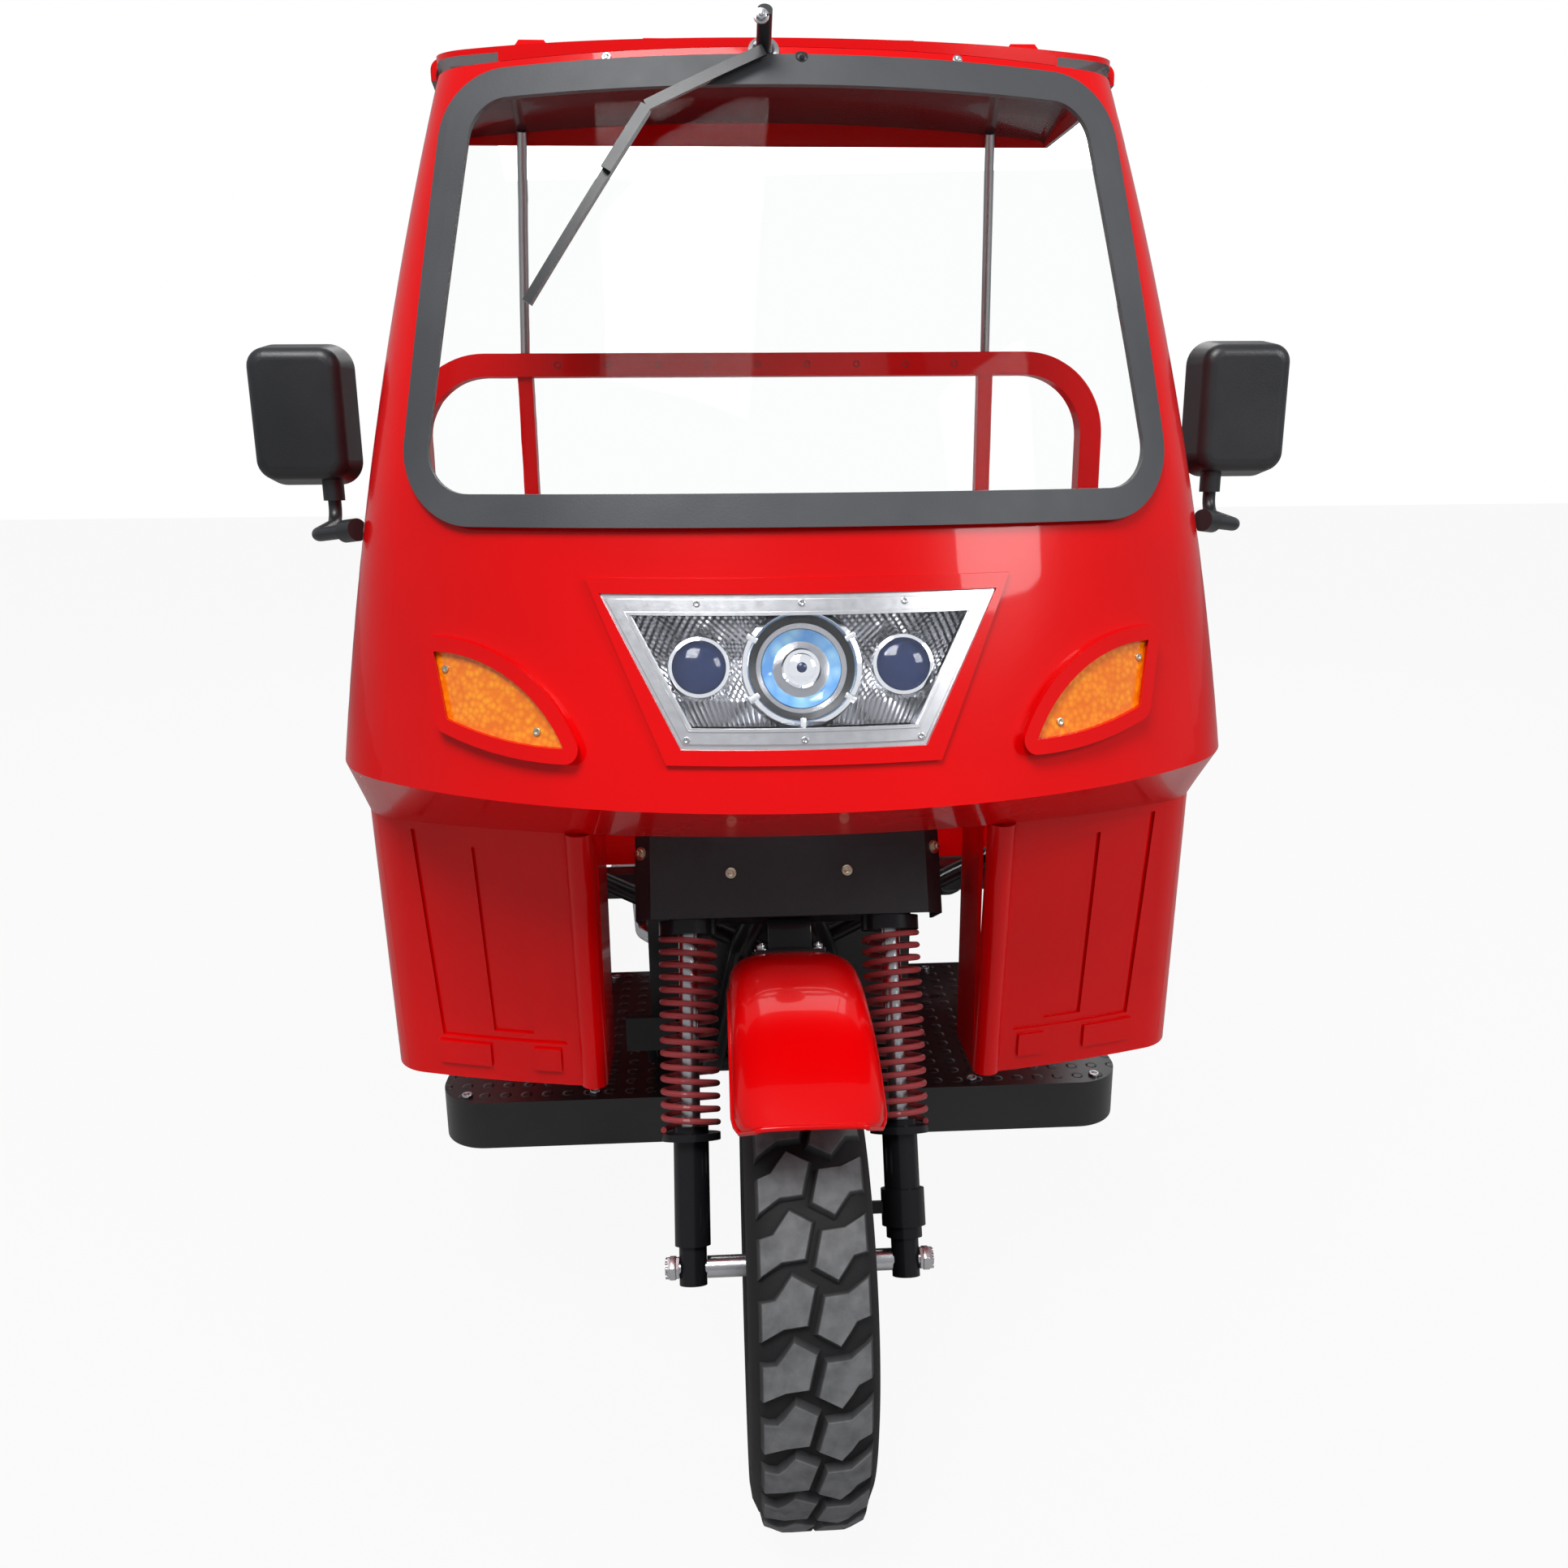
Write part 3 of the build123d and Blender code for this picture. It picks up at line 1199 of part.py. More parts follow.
def rear_axle():
    """Axle tube with brake plates, spindles and spring pads, round the differential."""
    inner = TRACK / 2 - DRUM_DEPTH - TOUCH
    hub = TRACK / 2 + RIM_WIDTH / 2 + TOUCH
    outer = hub + AXLE_NUT_LENGTH
    axle = bar(WHEELBASE, TYRE_RADIUS, inner, AXLE_TUBE) + bar(WHEELBASE, TYRE_RADIUS, outer, SPINDLE_RADIUS)
    end = cylinder((inner - BACKPLATE, WHEELBASE, TYRE_RADIUS), (inner, WHEELBASE, TYRE_RADIUS), DRUM_RADIUS)
    end += cylinder((hub, WHEELBASE, TYRE_RADIUS), (outer, WHEELBASE, TYRE_RADIUS), HUB_RADIUS)
    end += block((SPRING_X - LEAF_WIDTH / 2, WHEELBASE - AXLE_TUBE, TYRE_RADIUS),
                 (SPRING_X + LEAF_WIDTH / 2, WHEELBASE + AXLE_TUBE, LEAF_BASE - CLAMP_WALL - TOUCH))
    centre = Vector(0, WHEELBASE, TYRE_RADIUS)
    gear = Pos(*centre) * Sphere(DIFF_RADIUS)
    nose = cylinder(centre, centre - drive_way() * DRIVE_REACH, DIFF_RADIUS / 2)
    parts["rear_axle"] = axle + end + mirrored(end) + gear + nose


def drive_way():
    """Direction of the drive shaft, from the engine's output back to the axle's centre."""
    return Vector(0, WHEELBASE - DRIVE_FRONT, TYRE_RADIUS - DRIVE_HEIGHT).normalized()


def drive_shaft():
    """Shaft between the engine's output and the axle, with a joint yoke at each end."""
    way = drive_way()
    start = Vector(0, DRIVE_FRONT, DRIVE_HEIGHT) + way * TOUCH
    end = Vector(0, WHEELBASE, TYRE_RADIUS) - way * (DRIVE_REACH + TOUCH)
    shaft = cylinder(start, end, SHAFT_RADIUS) + cylinder(start, start + way * YOKE, YOKE_RADIUS)
    parts["drive_shaft"] = shaft + cylinder(end - way * YOKE, end, YOKE_RADIUS)


def engine():
    """Crankcase between two pairs of round covers, a finned barrel and head, and the output shaft."""
    body = block((-CASE_HALF, CASE_FRONT, CASE_LOW), (CASE_HALF, CASE_FRONT + CASE_LENGTH, CASE_TOP))
    body += bar(CRANK_Y, SHAFT_Z, CRANK_HALF, CRANK_RADIUS) + bar(GEAR_Y, SHAFT_Z, GEAR_HALF, GEAR_RADIUS)
    fin = extrude(RectangleRounded(2 * FIN_HALF, 2 * FIN_HALF, FIN_CORNER), FIN_THICK)
    for level in range(FINS):
        body += Pos(0, BARREL_Y, BARREL_LOW + level * FIN_PITCH) * fin
    body += Pos(0, BARREL_Y, 0) * upright(BARREL_RADIUS, CASE_LOW, BARREL_TOP)
    head = block((-HEAD_HALF, BARREL_Y - HEAD_HALF, BARREL_TOP),
                 (HEAD_HALF, BARREL_Y + HEAD_HALF, BARREL_TOP + HEAD_HEIGHT))
    body += fillet(head.edges(), HEAD_EDGE)
    plug = BARREL_TOP + HEAD_HEIGHT / 2
    body += cylinder((0, BARREL_Y, plug), (HEAD_HALF + PLUG_LENGTH, BARREL_Y, plug), PLUG_RADIUS)
    front = Vector(0, DRIVE_FRONT, DRIVE_HEIGHT)
    parts["engine"] = body + cylinder(front - drive_way() * OUTPUT_REACH, front, YOKE_RADIUS)


def exhaust():
    """Pipe from the barrel's port down beside the cradle to the muffler and its outlet."""
    port = (PORT_X, BARREL_Y - FIN_HALF - TOUCH, CASE_TOP + PORT_LIFT)
    end = (MUFFLER_X, MUFFLER_FRONT, MUFFLER_Z)
    pipe = bent_tube([between(port, end, share) for share in EXHAUST_SHARES], EXHAUST_RADIUS, EXHAUST_BEND)
    front = Vector(MUFFLER_X, MUFFLER_FRONT - MUFFLER_LAP, MUFFLER_Z)
    way = Vector(0, MUFFLER_LENGTH, MUFFLER_RISE)
    outlet = front + way + way.normalized() * OUTLET_LENGTH
    pipe += cylinder(front, front + way, MUFFLER_RADIUS)
    parts["exhaust"] = pipe + cylinder(front + way, outlet, OUTLET_RADIUS)


def boards():
    """Footboards: flat trays with a deep front edge and a rounded outer corner."""
    points = [(BOARD_INNER, BOARD_FRONT), (BOARD_OUTER, BOARD_FRONT), (BOARD_OUTER, BOARD_REAR),
              (BOARD_INNER, BOARD_REAR)]
    face = make_face(Polyline(*points, close=True))
    corner = face.vertices().sort_by(Axis.Y)[:2].sort_by(Axis.X)[-1]
    face = fillet(corner, BOARD_CORNER)
    board = extrude(Pos(0, 0, BOARD_TOP - BOARD_SKIRT) * face, BOARD_SKIRT)
    under = BOARD_TOP - BOARD_PLATE
    board -= extrude(offset(face, amount=-BOARD_PLATE), under)
    board -= block((0, BOARD_FRONT + BOARD_SKIRT, 0),
                   (BOARD_OUTER - BOARD_PLATE, BOARD_REAR + OVERRUN, under))
    parts["footboards"] = both_sides(board)


def splash_guard():
    """Leaning plate behind the front wheel."""
    low = BOARD_TOP + TOUCH
    high = BOARD_TOP + GUARD_HEIGHT
    back = GUARD_FOOT + GUARD_WALL
    points = [(GUARD_FOOT, low), (back, low), (back - GUARD_LEAN, high), (GUARD_FOOT - GUARD_LEAN, high)]
    parts["splash_guard"] = side_prism(points, GUARD_HALF)


def pedal():
    """Brake pedal on the right-hand down tube."""
    path = cradle_path()
    x, y, z = between(path[1], path[2], [PEDAL_PIVOT_SHARE] * len(path[1]))
    pivot = (-x, y, z)
    tread = (-x - PEDAL_OUT, y - PEDAL_FORWARD, z + PEDAL_RISE)
    lever = bent_tube([between(pivot, tread, share) for share in PEDAL_PATH_SHARES], PEDAL_RADIUS, PEDAL_BEND)
    pad = block((tread[0] - PAD_HALF, tread[1] - PAD_THICK, tread[2] - PAD_THICK),
                (tread[0] + PAD_HALF, tread[1], tread[2] - PAD_THICK + PAD_HEIGHT))
    parts["brake_pedal"] = (lever + pad) - parts["front_frame"]


def seat():
    """Bench on an open-bottomed box."""
    top = RAIL_TOP + SEAT_BASE
    base = block((-SEAT_HALF, SEAT_FRONT, RAIL_TOP + TOUCH), (SEAT_HALF, SEAT_REAR, top))
    base -= block((-SEAT_HALF + SKIN, SEAT_FRONT + SKIN, 0), (SEAT_HALF - SKIN, SEAT_REAR - SKIN, top - SKIN))
    cushion = block((-SEAT_HALF, SEAT_FRONT - CUSHION_LAP, top + TOUCH),
                    (SEAT_HALF, SEAT_REAR - BACK_THICK - TOUCH, top + CUSHION))
    back = block((-SEAT_HALF, SEAT_REAR - BACK_THICK, top + TOUCH), (SEAT_HALF, SEAT_REAR, top + BACK_HEIGHT))
    parts["seat_base"] = base
    parts["seat_cushion"] = fillet(cushion.edges(), CUSHION_ROUND)
    parts["seat_backrest"] = fillet(back.edges(), CUSHION_ROUND)


# Cargo box


def floor_hinge(x):
    """Knuckle and pin of the tailgate's hinge at x, on the floor's rear edge."""
    low = HINGE_Z - HINGE_RADIUS
    hinge = block((x - KNUCKLE / 2, BOX_REAR - FLOOR_PLATE, low), (x + KNUCKLE / 2, HINGE_Y, HINGE_Z))
    hinge += Pos(x, 0, 0) * bar(HINGE_Y, HINGE_Z, KNUCKLE / 2, HINGE_RADIUS)
    return hinge + Pos(x, 0, 0) * bar(HINGE_Y, HINGE_Z, PIN_HALF, PIN_RADIUS)


def cargo_floor():
    """Floor on cross beams, its deck raised between the walls that stand on the floor's edges."""
    low = RAIL_TOP + TOUCH
    sheet = SILL_TOP - FLOOR_PLATE
    floor = block((-BOX_HALF, BOX_FRONT, sheet), (BOX_HALF, BOX_REAR, SILL_TOP))
    deck_half = BOX_HALF - WALL - TOUCH
    floor += block((-deck_half, BOX_FRONT + HOOP_TUBE + TOUCH, sheet), (deck_half, BOX_REAR, FLOOR_TOP))
    for index in range(BEAMS):
        y = BOX_FRONT + index * (BOX_LENGTH - BEAM_WIDTH) / (BEAMS - 1)
        floor += block((-BOX_HALF, y, low), (BOX_HALF, y + BEAM_WIDTH, sheet))
    edge = block((BOX_HALF - FLOOR_PLATE, BOX_FRONT, low), (BOX_HALF, BOX_REAR, SILL_TOP))
    floor = floor + edge + mirrored(edge)
    for x in HINGES:
        floor += floor_hinge(x)
    parts["cargo_floor"] = floor


def side_walls():
    """Side walls of the cargo box, with pressed panels outside."""
    start = BOX_FRONT + HOOP_TUBE + TOUCH
    wall = block((BOX_HALF - WALL, start, SILL_TOP + TOUCH), (BOX_HALF, BOX_REAR, BOX_TOP))
    pitch = (BOX_REAR - start - PANEL_FRAME) / PANELS
    for index in range(PANELS):
        y = start + PANEL_FRAME + index * pitch
        wall -= block((BOX_HALF - PANEL_DEPTH, y, FLOOR_TOP + PANEL_FRAME),
                      (BOX_HALF + OVERRUN, y + pitch - PANEL_FRAME, BOX_TOP - PANEL_FRAME))
    parts["cargo_side_left"] = wall
    parts["cargo_side_right"] = mirrored(wall)


def tailgate():
    """Tailgate with pressed panels, notched round the floor's knuckles and bored for the pins."""
    front = BOX_REAR + GATE_GAP
    back = front + WALL
    gate = block((-BOX_HALF, front, GATE_BOTTOM), (BOX_HALF, back, BOX_TOP))
    pitch = (2 * BOX_HALF - PANEL_FRAME) / GATE_PANELS
    for index in range(GATE_PANELS):
        x = -BOX_HALF + PANEL_FRAME + index * pitch
        gate -= block((x, back - PANEL_DEPTH, GATE_BOTTOM + 2 * PANEL_FRAME),
                      (x + pitch - PANEL_FRAME, back + OVERRUN, BOX_TOP - PANEL_FRAME))
    notch = KNUCKLE / 2 + NOTCH_GAP
    for x in HINGES:
        gate -= block((x - notch, front - OVERRUN, GATE_BOTTOM - OVERRUN),
                      (x + notch, back + OVERRUN, GATE_BOTTOM + NOTCH_HEIGHT))
        for side in (-1, 1):
            near = (x + side * notch, HINGE_Y, HINGE_Z)
            far = (x + side * (PIN_HALF - TOUCH), HINGE_Y, HINGE_Z)
            gate += cylinder(near, far, HINGE_RADIUS)
    for x in HINGES:
        gate -= Pos(x, 0, 0) * bar(HINGE_Y, HINGE_Z, PIN_HALF + OVERRUN, PIN_RADIUS + RUNNING)
    parts["tailgate"] = gate


def headboard():
    """Front wall of the cargo box with the hoop that stands on it."""
    half = BOX_HALF - HOOP_TUBE / 2
    y = BOX_FRONT + HOOP_TUBE / 2
    top = HOOP_TOP - HOOP_TUBE / 2
    low = SILL_TOP + TOUCH
    path = [(-half, y, low), (-half, y, top), (half, y, top), (half, y, low)]
    board = square_tube(path, HOOP_TUBE, HOOP_BEND)
    for x in (-HOOP_POST_X, HOOP_POST_X):
        board += block((x - HOOP_POST_HALF, y - HOOP_POST_HALF, low),
                       (x + HOOP_POST_HALF, y + HOOP_POST_HALF, top))
    board += block((-half, y - WALL / 2, low), (half, y + WALL / 2, BOX_TOP))
    parts["cargo_headboard"] = board


def mudguards():
    """Arched guards over the rear wheels."""
    face = Plane.YZ * (Circle(MUDGUARD_RADIUS) - Circle(MUDGUARD_RADIUS - MUDGUARD_WALL))
    guard = extrude(face, amount=MUDGUARD_HALF, both=True)
    guard = guard & block((-MUDGUARD_HALF, -MUDGUARD_REACH, MUDGUARD_LOW),
                          (MUDGUARD_HALF, MUDGUARD_REACH, MUDGUARD_RADIUS))
    parts["rear_mudguards"] = both_sides(Pos(TRACK / 2, WHEELBASE, TYRE_RADIUS) * guard)


def rear_fittings():
    """Tail lamps and plate bracket on the last cross member, battery box beside the rail."""
    face = RAIL_REAR + TOUCH
    top = RAIL_TOP - TAIL_LAMP_EDGE
    lamp = block((TAIL_LAMP_X - TAIL_LAMP_HALF, face, top - TAIL_LAMP_HEIGHT),
                 (TAIL_LAMP_X + TAIL_LAMP_HALF, face + TAIL_LAMP_DEPTH, top))
    parts["tail_lamps"] = both_sides(fillet(lamp.faces().sort_by(Axis.Y)[-1].edges(), TAIL_LAMP_EDGE))
    plate = block((-BRACKET_HALF, face, RAIL_TOP - BRACKET_DROP),
                  (BRACKET_HALF, face + BRACKET_WALL, RAIL_TOP))
    hole_z = RAIL_TOP - BRACKET_HOLE_DROP
    for x in (-BRACKET_HOLE_X, BRACKET_HOLE_X):
        plate -= cylinder((x, face - OVERRUN, hole_z), (x, face + OVERRUN, hole_z), BRACKET_HOLE_RADIUS)
    parts["plate_bracket"] = plate
    side = RAIL_X + RAIL_WIDTH / 2 + TOUCH
    y = BOX_FRONT + BATTERY_SETBACK
    top = RAIL_TOP - BATTERY_DROP
    box = block((side, y, top - BATTERY_HEIGHT), (side + BATTERY_WIDTH, y + BATTERY_LENGTH, top))
    parts["battery_box"] = fillet(box.edges().filter_by(Axis.Z), BATTERY_EDGE)


# Build order: the root's pieces, then the steering and the wheels

cabin()
cargo_floor()
side_walls()
tailgate()
headboard()
roof_and_stays()
headlamp()
wiper()
mirrors()
chassis()
front_frame()
leaf_springs()
rear_axle()
drive_shaft()
engine()
exhaust()
boards()
splash_guard()
pedal()
seat()
mudguards()
rear_fittings()
steering()
front_wheel()
rear_wheels()

# The origin lies halfway between the front of the front tyre and the back of the tailgate

tail = BOX_REAR + GATE_GAP + WALL
to_origin = Pos(0, -(tail - TYRE_RADIUS) / 2, 0)

os.makedirs("parts", exist_ok=True)
for name, shape in parts.items():
    export_step(to_origin * shape, "parts/" + name + ".step")
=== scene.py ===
"""Looks of the cargo tricycle with cabin: finishes, modelled detail, light and camera."""

import json
import logging
import math
from collections.abc import Callable
from dataclasses import dataclass
from enum import Enum

import bpy
import numpy as np
from mathutils import Matrix, Vector
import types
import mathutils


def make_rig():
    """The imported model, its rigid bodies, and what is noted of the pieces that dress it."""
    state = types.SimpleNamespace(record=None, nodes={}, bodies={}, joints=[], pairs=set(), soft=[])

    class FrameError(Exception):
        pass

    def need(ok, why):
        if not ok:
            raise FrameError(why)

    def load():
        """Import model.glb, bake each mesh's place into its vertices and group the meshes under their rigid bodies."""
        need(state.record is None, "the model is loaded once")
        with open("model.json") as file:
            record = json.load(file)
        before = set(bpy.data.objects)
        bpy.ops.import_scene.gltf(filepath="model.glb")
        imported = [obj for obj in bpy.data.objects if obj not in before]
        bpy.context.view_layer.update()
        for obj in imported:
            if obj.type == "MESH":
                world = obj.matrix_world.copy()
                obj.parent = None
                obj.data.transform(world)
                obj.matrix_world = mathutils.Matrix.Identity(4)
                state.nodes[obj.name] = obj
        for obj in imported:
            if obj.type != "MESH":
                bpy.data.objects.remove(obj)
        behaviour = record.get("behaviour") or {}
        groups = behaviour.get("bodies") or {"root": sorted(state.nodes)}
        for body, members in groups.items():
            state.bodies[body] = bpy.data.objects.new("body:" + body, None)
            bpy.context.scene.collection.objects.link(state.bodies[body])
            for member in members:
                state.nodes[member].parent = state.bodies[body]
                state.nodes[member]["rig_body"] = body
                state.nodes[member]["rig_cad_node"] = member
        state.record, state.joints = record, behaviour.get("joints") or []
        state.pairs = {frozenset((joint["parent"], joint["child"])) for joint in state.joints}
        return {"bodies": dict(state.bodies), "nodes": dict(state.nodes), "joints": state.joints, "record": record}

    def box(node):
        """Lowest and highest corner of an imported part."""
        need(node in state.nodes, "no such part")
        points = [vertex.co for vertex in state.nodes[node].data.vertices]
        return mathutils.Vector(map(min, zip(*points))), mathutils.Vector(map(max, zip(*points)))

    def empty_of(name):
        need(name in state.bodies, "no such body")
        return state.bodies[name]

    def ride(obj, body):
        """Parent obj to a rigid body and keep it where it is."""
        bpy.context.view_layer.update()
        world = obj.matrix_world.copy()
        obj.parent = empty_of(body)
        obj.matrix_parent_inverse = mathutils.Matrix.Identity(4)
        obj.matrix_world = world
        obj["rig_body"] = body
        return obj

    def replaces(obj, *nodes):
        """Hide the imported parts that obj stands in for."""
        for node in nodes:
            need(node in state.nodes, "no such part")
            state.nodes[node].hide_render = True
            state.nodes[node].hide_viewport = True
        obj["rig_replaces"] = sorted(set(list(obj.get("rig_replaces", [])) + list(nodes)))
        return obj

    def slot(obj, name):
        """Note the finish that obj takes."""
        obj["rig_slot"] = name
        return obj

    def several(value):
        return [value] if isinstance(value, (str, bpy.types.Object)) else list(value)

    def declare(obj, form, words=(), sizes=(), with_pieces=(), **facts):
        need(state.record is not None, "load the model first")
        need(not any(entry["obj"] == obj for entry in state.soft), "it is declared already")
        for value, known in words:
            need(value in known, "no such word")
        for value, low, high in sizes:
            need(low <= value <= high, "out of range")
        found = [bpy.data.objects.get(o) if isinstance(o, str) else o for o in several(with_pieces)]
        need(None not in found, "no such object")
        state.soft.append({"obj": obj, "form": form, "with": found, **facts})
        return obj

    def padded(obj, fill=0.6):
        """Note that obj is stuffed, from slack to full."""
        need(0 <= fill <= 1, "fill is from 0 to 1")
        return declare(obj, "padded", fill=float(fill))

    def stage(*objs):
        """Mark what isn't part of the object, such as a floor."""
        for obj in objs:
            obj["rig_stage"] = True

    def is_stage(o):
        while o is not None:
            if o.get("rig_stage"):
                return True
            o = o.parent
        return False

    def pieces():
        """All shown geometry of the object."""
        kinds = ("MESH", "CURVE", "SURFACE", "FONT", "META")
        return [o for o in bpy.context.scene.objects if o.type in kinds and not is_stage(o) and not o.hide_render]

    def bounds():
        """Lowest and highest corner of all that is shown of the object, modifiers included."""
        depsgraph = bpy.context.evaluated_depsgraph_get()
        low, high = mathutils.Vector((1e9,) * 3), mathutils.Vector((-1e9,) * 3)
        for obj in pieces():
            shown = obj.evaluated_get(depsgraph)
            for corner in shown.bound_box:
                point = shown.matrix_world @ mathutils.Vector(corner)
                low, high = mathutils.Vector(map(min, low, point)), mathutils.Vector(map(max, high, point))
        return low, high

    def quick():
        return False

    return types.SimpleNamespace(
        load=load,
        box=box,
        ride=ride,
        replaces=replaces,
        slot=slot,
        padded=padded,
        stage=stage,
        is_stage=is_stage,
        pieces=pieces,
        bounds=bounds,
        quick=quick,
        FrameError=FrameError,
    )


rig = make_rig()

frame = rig.load()
CAD_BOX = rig.bounds()
NODES: dict[str, bpy.types.Object] = frame["nodes"]

logging.basicConfig(level=logging.INFO, format="%(message)s")
log = logging.getLogger("tricycle")

Colour = tuple[float, float, float]
Point = tuple[float, float, float]
Spot = tuple[float, float]
Thing = bpy.types.Object

SMOOTH_ANGLE = math.radians(38)
FACET_ANGLE = math.radians(5)
BEVEL_ANGLE = math.radians(35)
FRAME_BEVEL_ANGLE = math.radians(50)
RAY_START = 0.1
SEAM_REACH = 0.002
DOUBLES = 0.00002
WHITE = (1.0, 1.0, 1.0, 1.0)
UP = Vector((0, 0, 1))
# Point attribute of scuffed block faces and of the painted shade on the block walls and in the grooves.
WEAR_AND_SHADE = "wear_and_groove_shade"
FORK_RAKE = math.radians(25.4)
AXLE = Vector((0.0, -1.295, 0.284))
LAMP_WAY = Vector((0.0, -0.953, 0.303))


class Body(str, Enum):
    """Bodies that a piece can ride on."""

    CHASSIS = "chassis"
    STEERING = "steering"
    FRONT_WHEEL = "front_wheel"
    REAR_LEFT = "rear_wheel_left"
    REAR_RIGHT = "rear_wheel_right"
    TAILGATE = "tailgate"


class Tree:
    """Node tree of a material or of the world, with short ways to add and link nodes."""

    def __init__(self, owner: bpy.types.Material | bpy.types.World) -> None:
        """Turns the owner's nodes on and keeps its shader and its coordinates."""
        owner.use_nodes = True
        self.nodes = owner.node_tree.nodes
        self.links = owner.node_tree.links
        self.shader = self.nodes["Background" if isinstance(owner, bpy.types.World) else "Principled BSDF"]
        coordinates = self.add("ShaderNodeTexCoord").outputs
        self.place, self.normal = coordinates["Object"], coordinates["Normal"]

    def add(self, kind: str, **inputs: object) -> bpy.types.Node:
        """Adds a node and fills its inputs.

        Args:
            kind: the node's type name.
            inputs: values or output sockets, by input name with underscores for spaces.

        Returns:
            The new node.
        """
        node = self.nodes.new(kind)
        for key, value in inputs.items():
            self.feed(node, key.replace("_", " "), value)
        return node

    def feed(self, node: bpy.types.Node, key: str | int, value: object) -> None:
        """Sets an input to a value, or links it to an output socket."""
        if isinstance(value, bpy.types.NodeSocket):
            self.links.new(value, node.inputs[key])
        else:
            node.inputs[key].default_value = value

    def set(self, **inputs: object) -> None:
        """Sets or links inputs of the tree's shader."""
        for key, value in inputs.items():
            self.feed(self.shader, key.replace("_", " "), value)

    def noise(self, scale: float, detail: float = 3.0, rough: float = 0.5) -> bpy.types.NodeSocket:
        """Factor of a noise of that scale over the piece."""
        node = self.add("ShaderNodeTexNoise", Vector=self.place, Scale=scale, Detail=detail, Roughness=rough)
        return node.outputs["Fac"]

    def span(self, factor: bpy.types.NodeSocket, low: float, high: float,
             start: float = 0.0, end: float = 1.0) -> bpy.types.NodeSocket:
        """Maps a factor between start and end onto low to high."""
        node = self.add("ShaderNodeMapRange", Value=factor, From_Min=start, From_Max=end,
                        To_Min=low, To_Max=high)
        return node.outputs["Result"]

    def math(self, operation: str, one: object, two: object = 0.0) -> bpy.types.NodeSocket:
        """Result of a Math node on one or two values or sockets."""
        node = self.nodes.new("ShaderNodeMath")
        node.operation = operation
        self.feed(node, 0, one)
        self.feed(node, 1, two)
        return node.outputs["Value"]

    def axes(self, vector: bpy.types.NodeSocket) -> tuple[bpy.types.NodeSocket, ...]:
        """X, Y and Z of a vector."""
        return tuple(self.add("ShaderNodeSeparateXYZ", Vector=vector).outputs)

    def seen(self) -> bpy.types.NodeSocket:
        """1 for rays from the camera, straight or through glass, otherwise 0."""
        path = self.add("ShaderNodeLightPath")
        return self.math("MAXIMUM", path.outputs["Is Camera Ray"], path.outputs["Is Transmission Ray"])

    def stripes(self, along: bpy.types.NodeSocket, pitch: float) -> bpy.types.NodeSocket:
        """Rounded ridges, one for each pitch, from 0 in the grooves to 1 on the crowns."""
        return self.math("ABSOLUTE", self.math("SINE", self.math("MULTIPLY", along, math.pi / pitch)))

    def blend(self, factor: bpy.types.NodeSocket, one: Colour, two: Colour) -> bpy.types.NodeSocket:
        """Mixes two colours by a factor."""
        node = self.nodes.new("ShaderNodeMix")
        node.data_type = "RGBA"
        self.links.new(factor, node.inputs[0])
        node.inputs[6].default_value = (*one, 1.0)
        node.inputs[7].default_value = (*two, 1.0)
        return node.outputs[2]

    def bump(self, height: bpy.types.NodeSocket, depth: float, strength: float) -> None:
        """Raises the surface by a height map."""
        node = self.add("ShaderNodeBump", Height=height, Distance=depth, Strength=strength)
        self.set(Normal=node.outputs["Normal"])

    def cover(self, kind: str, share: object, output: str) -> None:
        """Shows a plain white shader over the tree's own.

        Args:
            kind: type name of the white shader's node.
            share: how much of it shows, as a value or a socket.
            output: name of the output node.
        """
        white = self.add(kind, Color=WHITE, Strength=1.0)
        mix = self.add("ShaderNodeMixShader")
        self.feed(mix, 0, share)
        self.feed(mix, 1, self.shader.outputs[0])
        self.feed(mix, 2, white.outputs[0])
        self.feed(self.nodes[output], "Surface", mix.outputs[0])


def darker(colour: Colour, share: float) -> Colour:
    """The colour at a share of its brightness."""
    return tuple(channel * share for channel in colour)


@dataclass(frozen=True)
class Finish:
    """What every finish has: a name, a colour and a roughness."""

    name: str
    colour: Colour
    rough: float = 0.5

    def shade(self, tree: Tree) -> None:
        """Fills the node tree with slight variation of colour and roughness."""
        tree.set(Base_Color=tree.blend(tree.noise(9.0), self.colour, darker(self.colour, 0.82)))
        tree.set(Roughness=tree.span(tree.noise(40.0), self.rough * 0.9, self.rough * 1.15))

    def material(self) -> bpy.types.Material:
        """Returns the finish's material, made on first use."""
        name = "finish." + self.name
        made = bpy.data.materials.get(name)
        if made is None:
            made = bpy.data.materials.new(name)
            self.shade(Tree(made))
        return made


@dataclass(frozen=True)
class Enamel(Finish):
    """Glossy sprayed paint with a faint orange peel."""

    rough: float = 0.25
    coat: float = 0.5

    def shade(self, tree: Tree) -> None:
        """Clear-coated colour, a little uneven over large areas, with fine peel."""
        tree.set(Base_Color=tree.blend(tree.span(tree.noise(3.0), 0.0, 1.0, 0.35, 0.65),
                                       self.colour, darker(self.colour, 0.86)))
        tree.set(Roughness=tree.span(tree.noise(25.0), self.rough * 0.9, self.rough * 1.1))
        tree.set(Coat_Weight=self.coat, Coat_Roughness=0.04, Specular_IOR_Level=0.1)
        tree.bump(tree.noise(220.0, 1.0), 0.0002, 0.25)


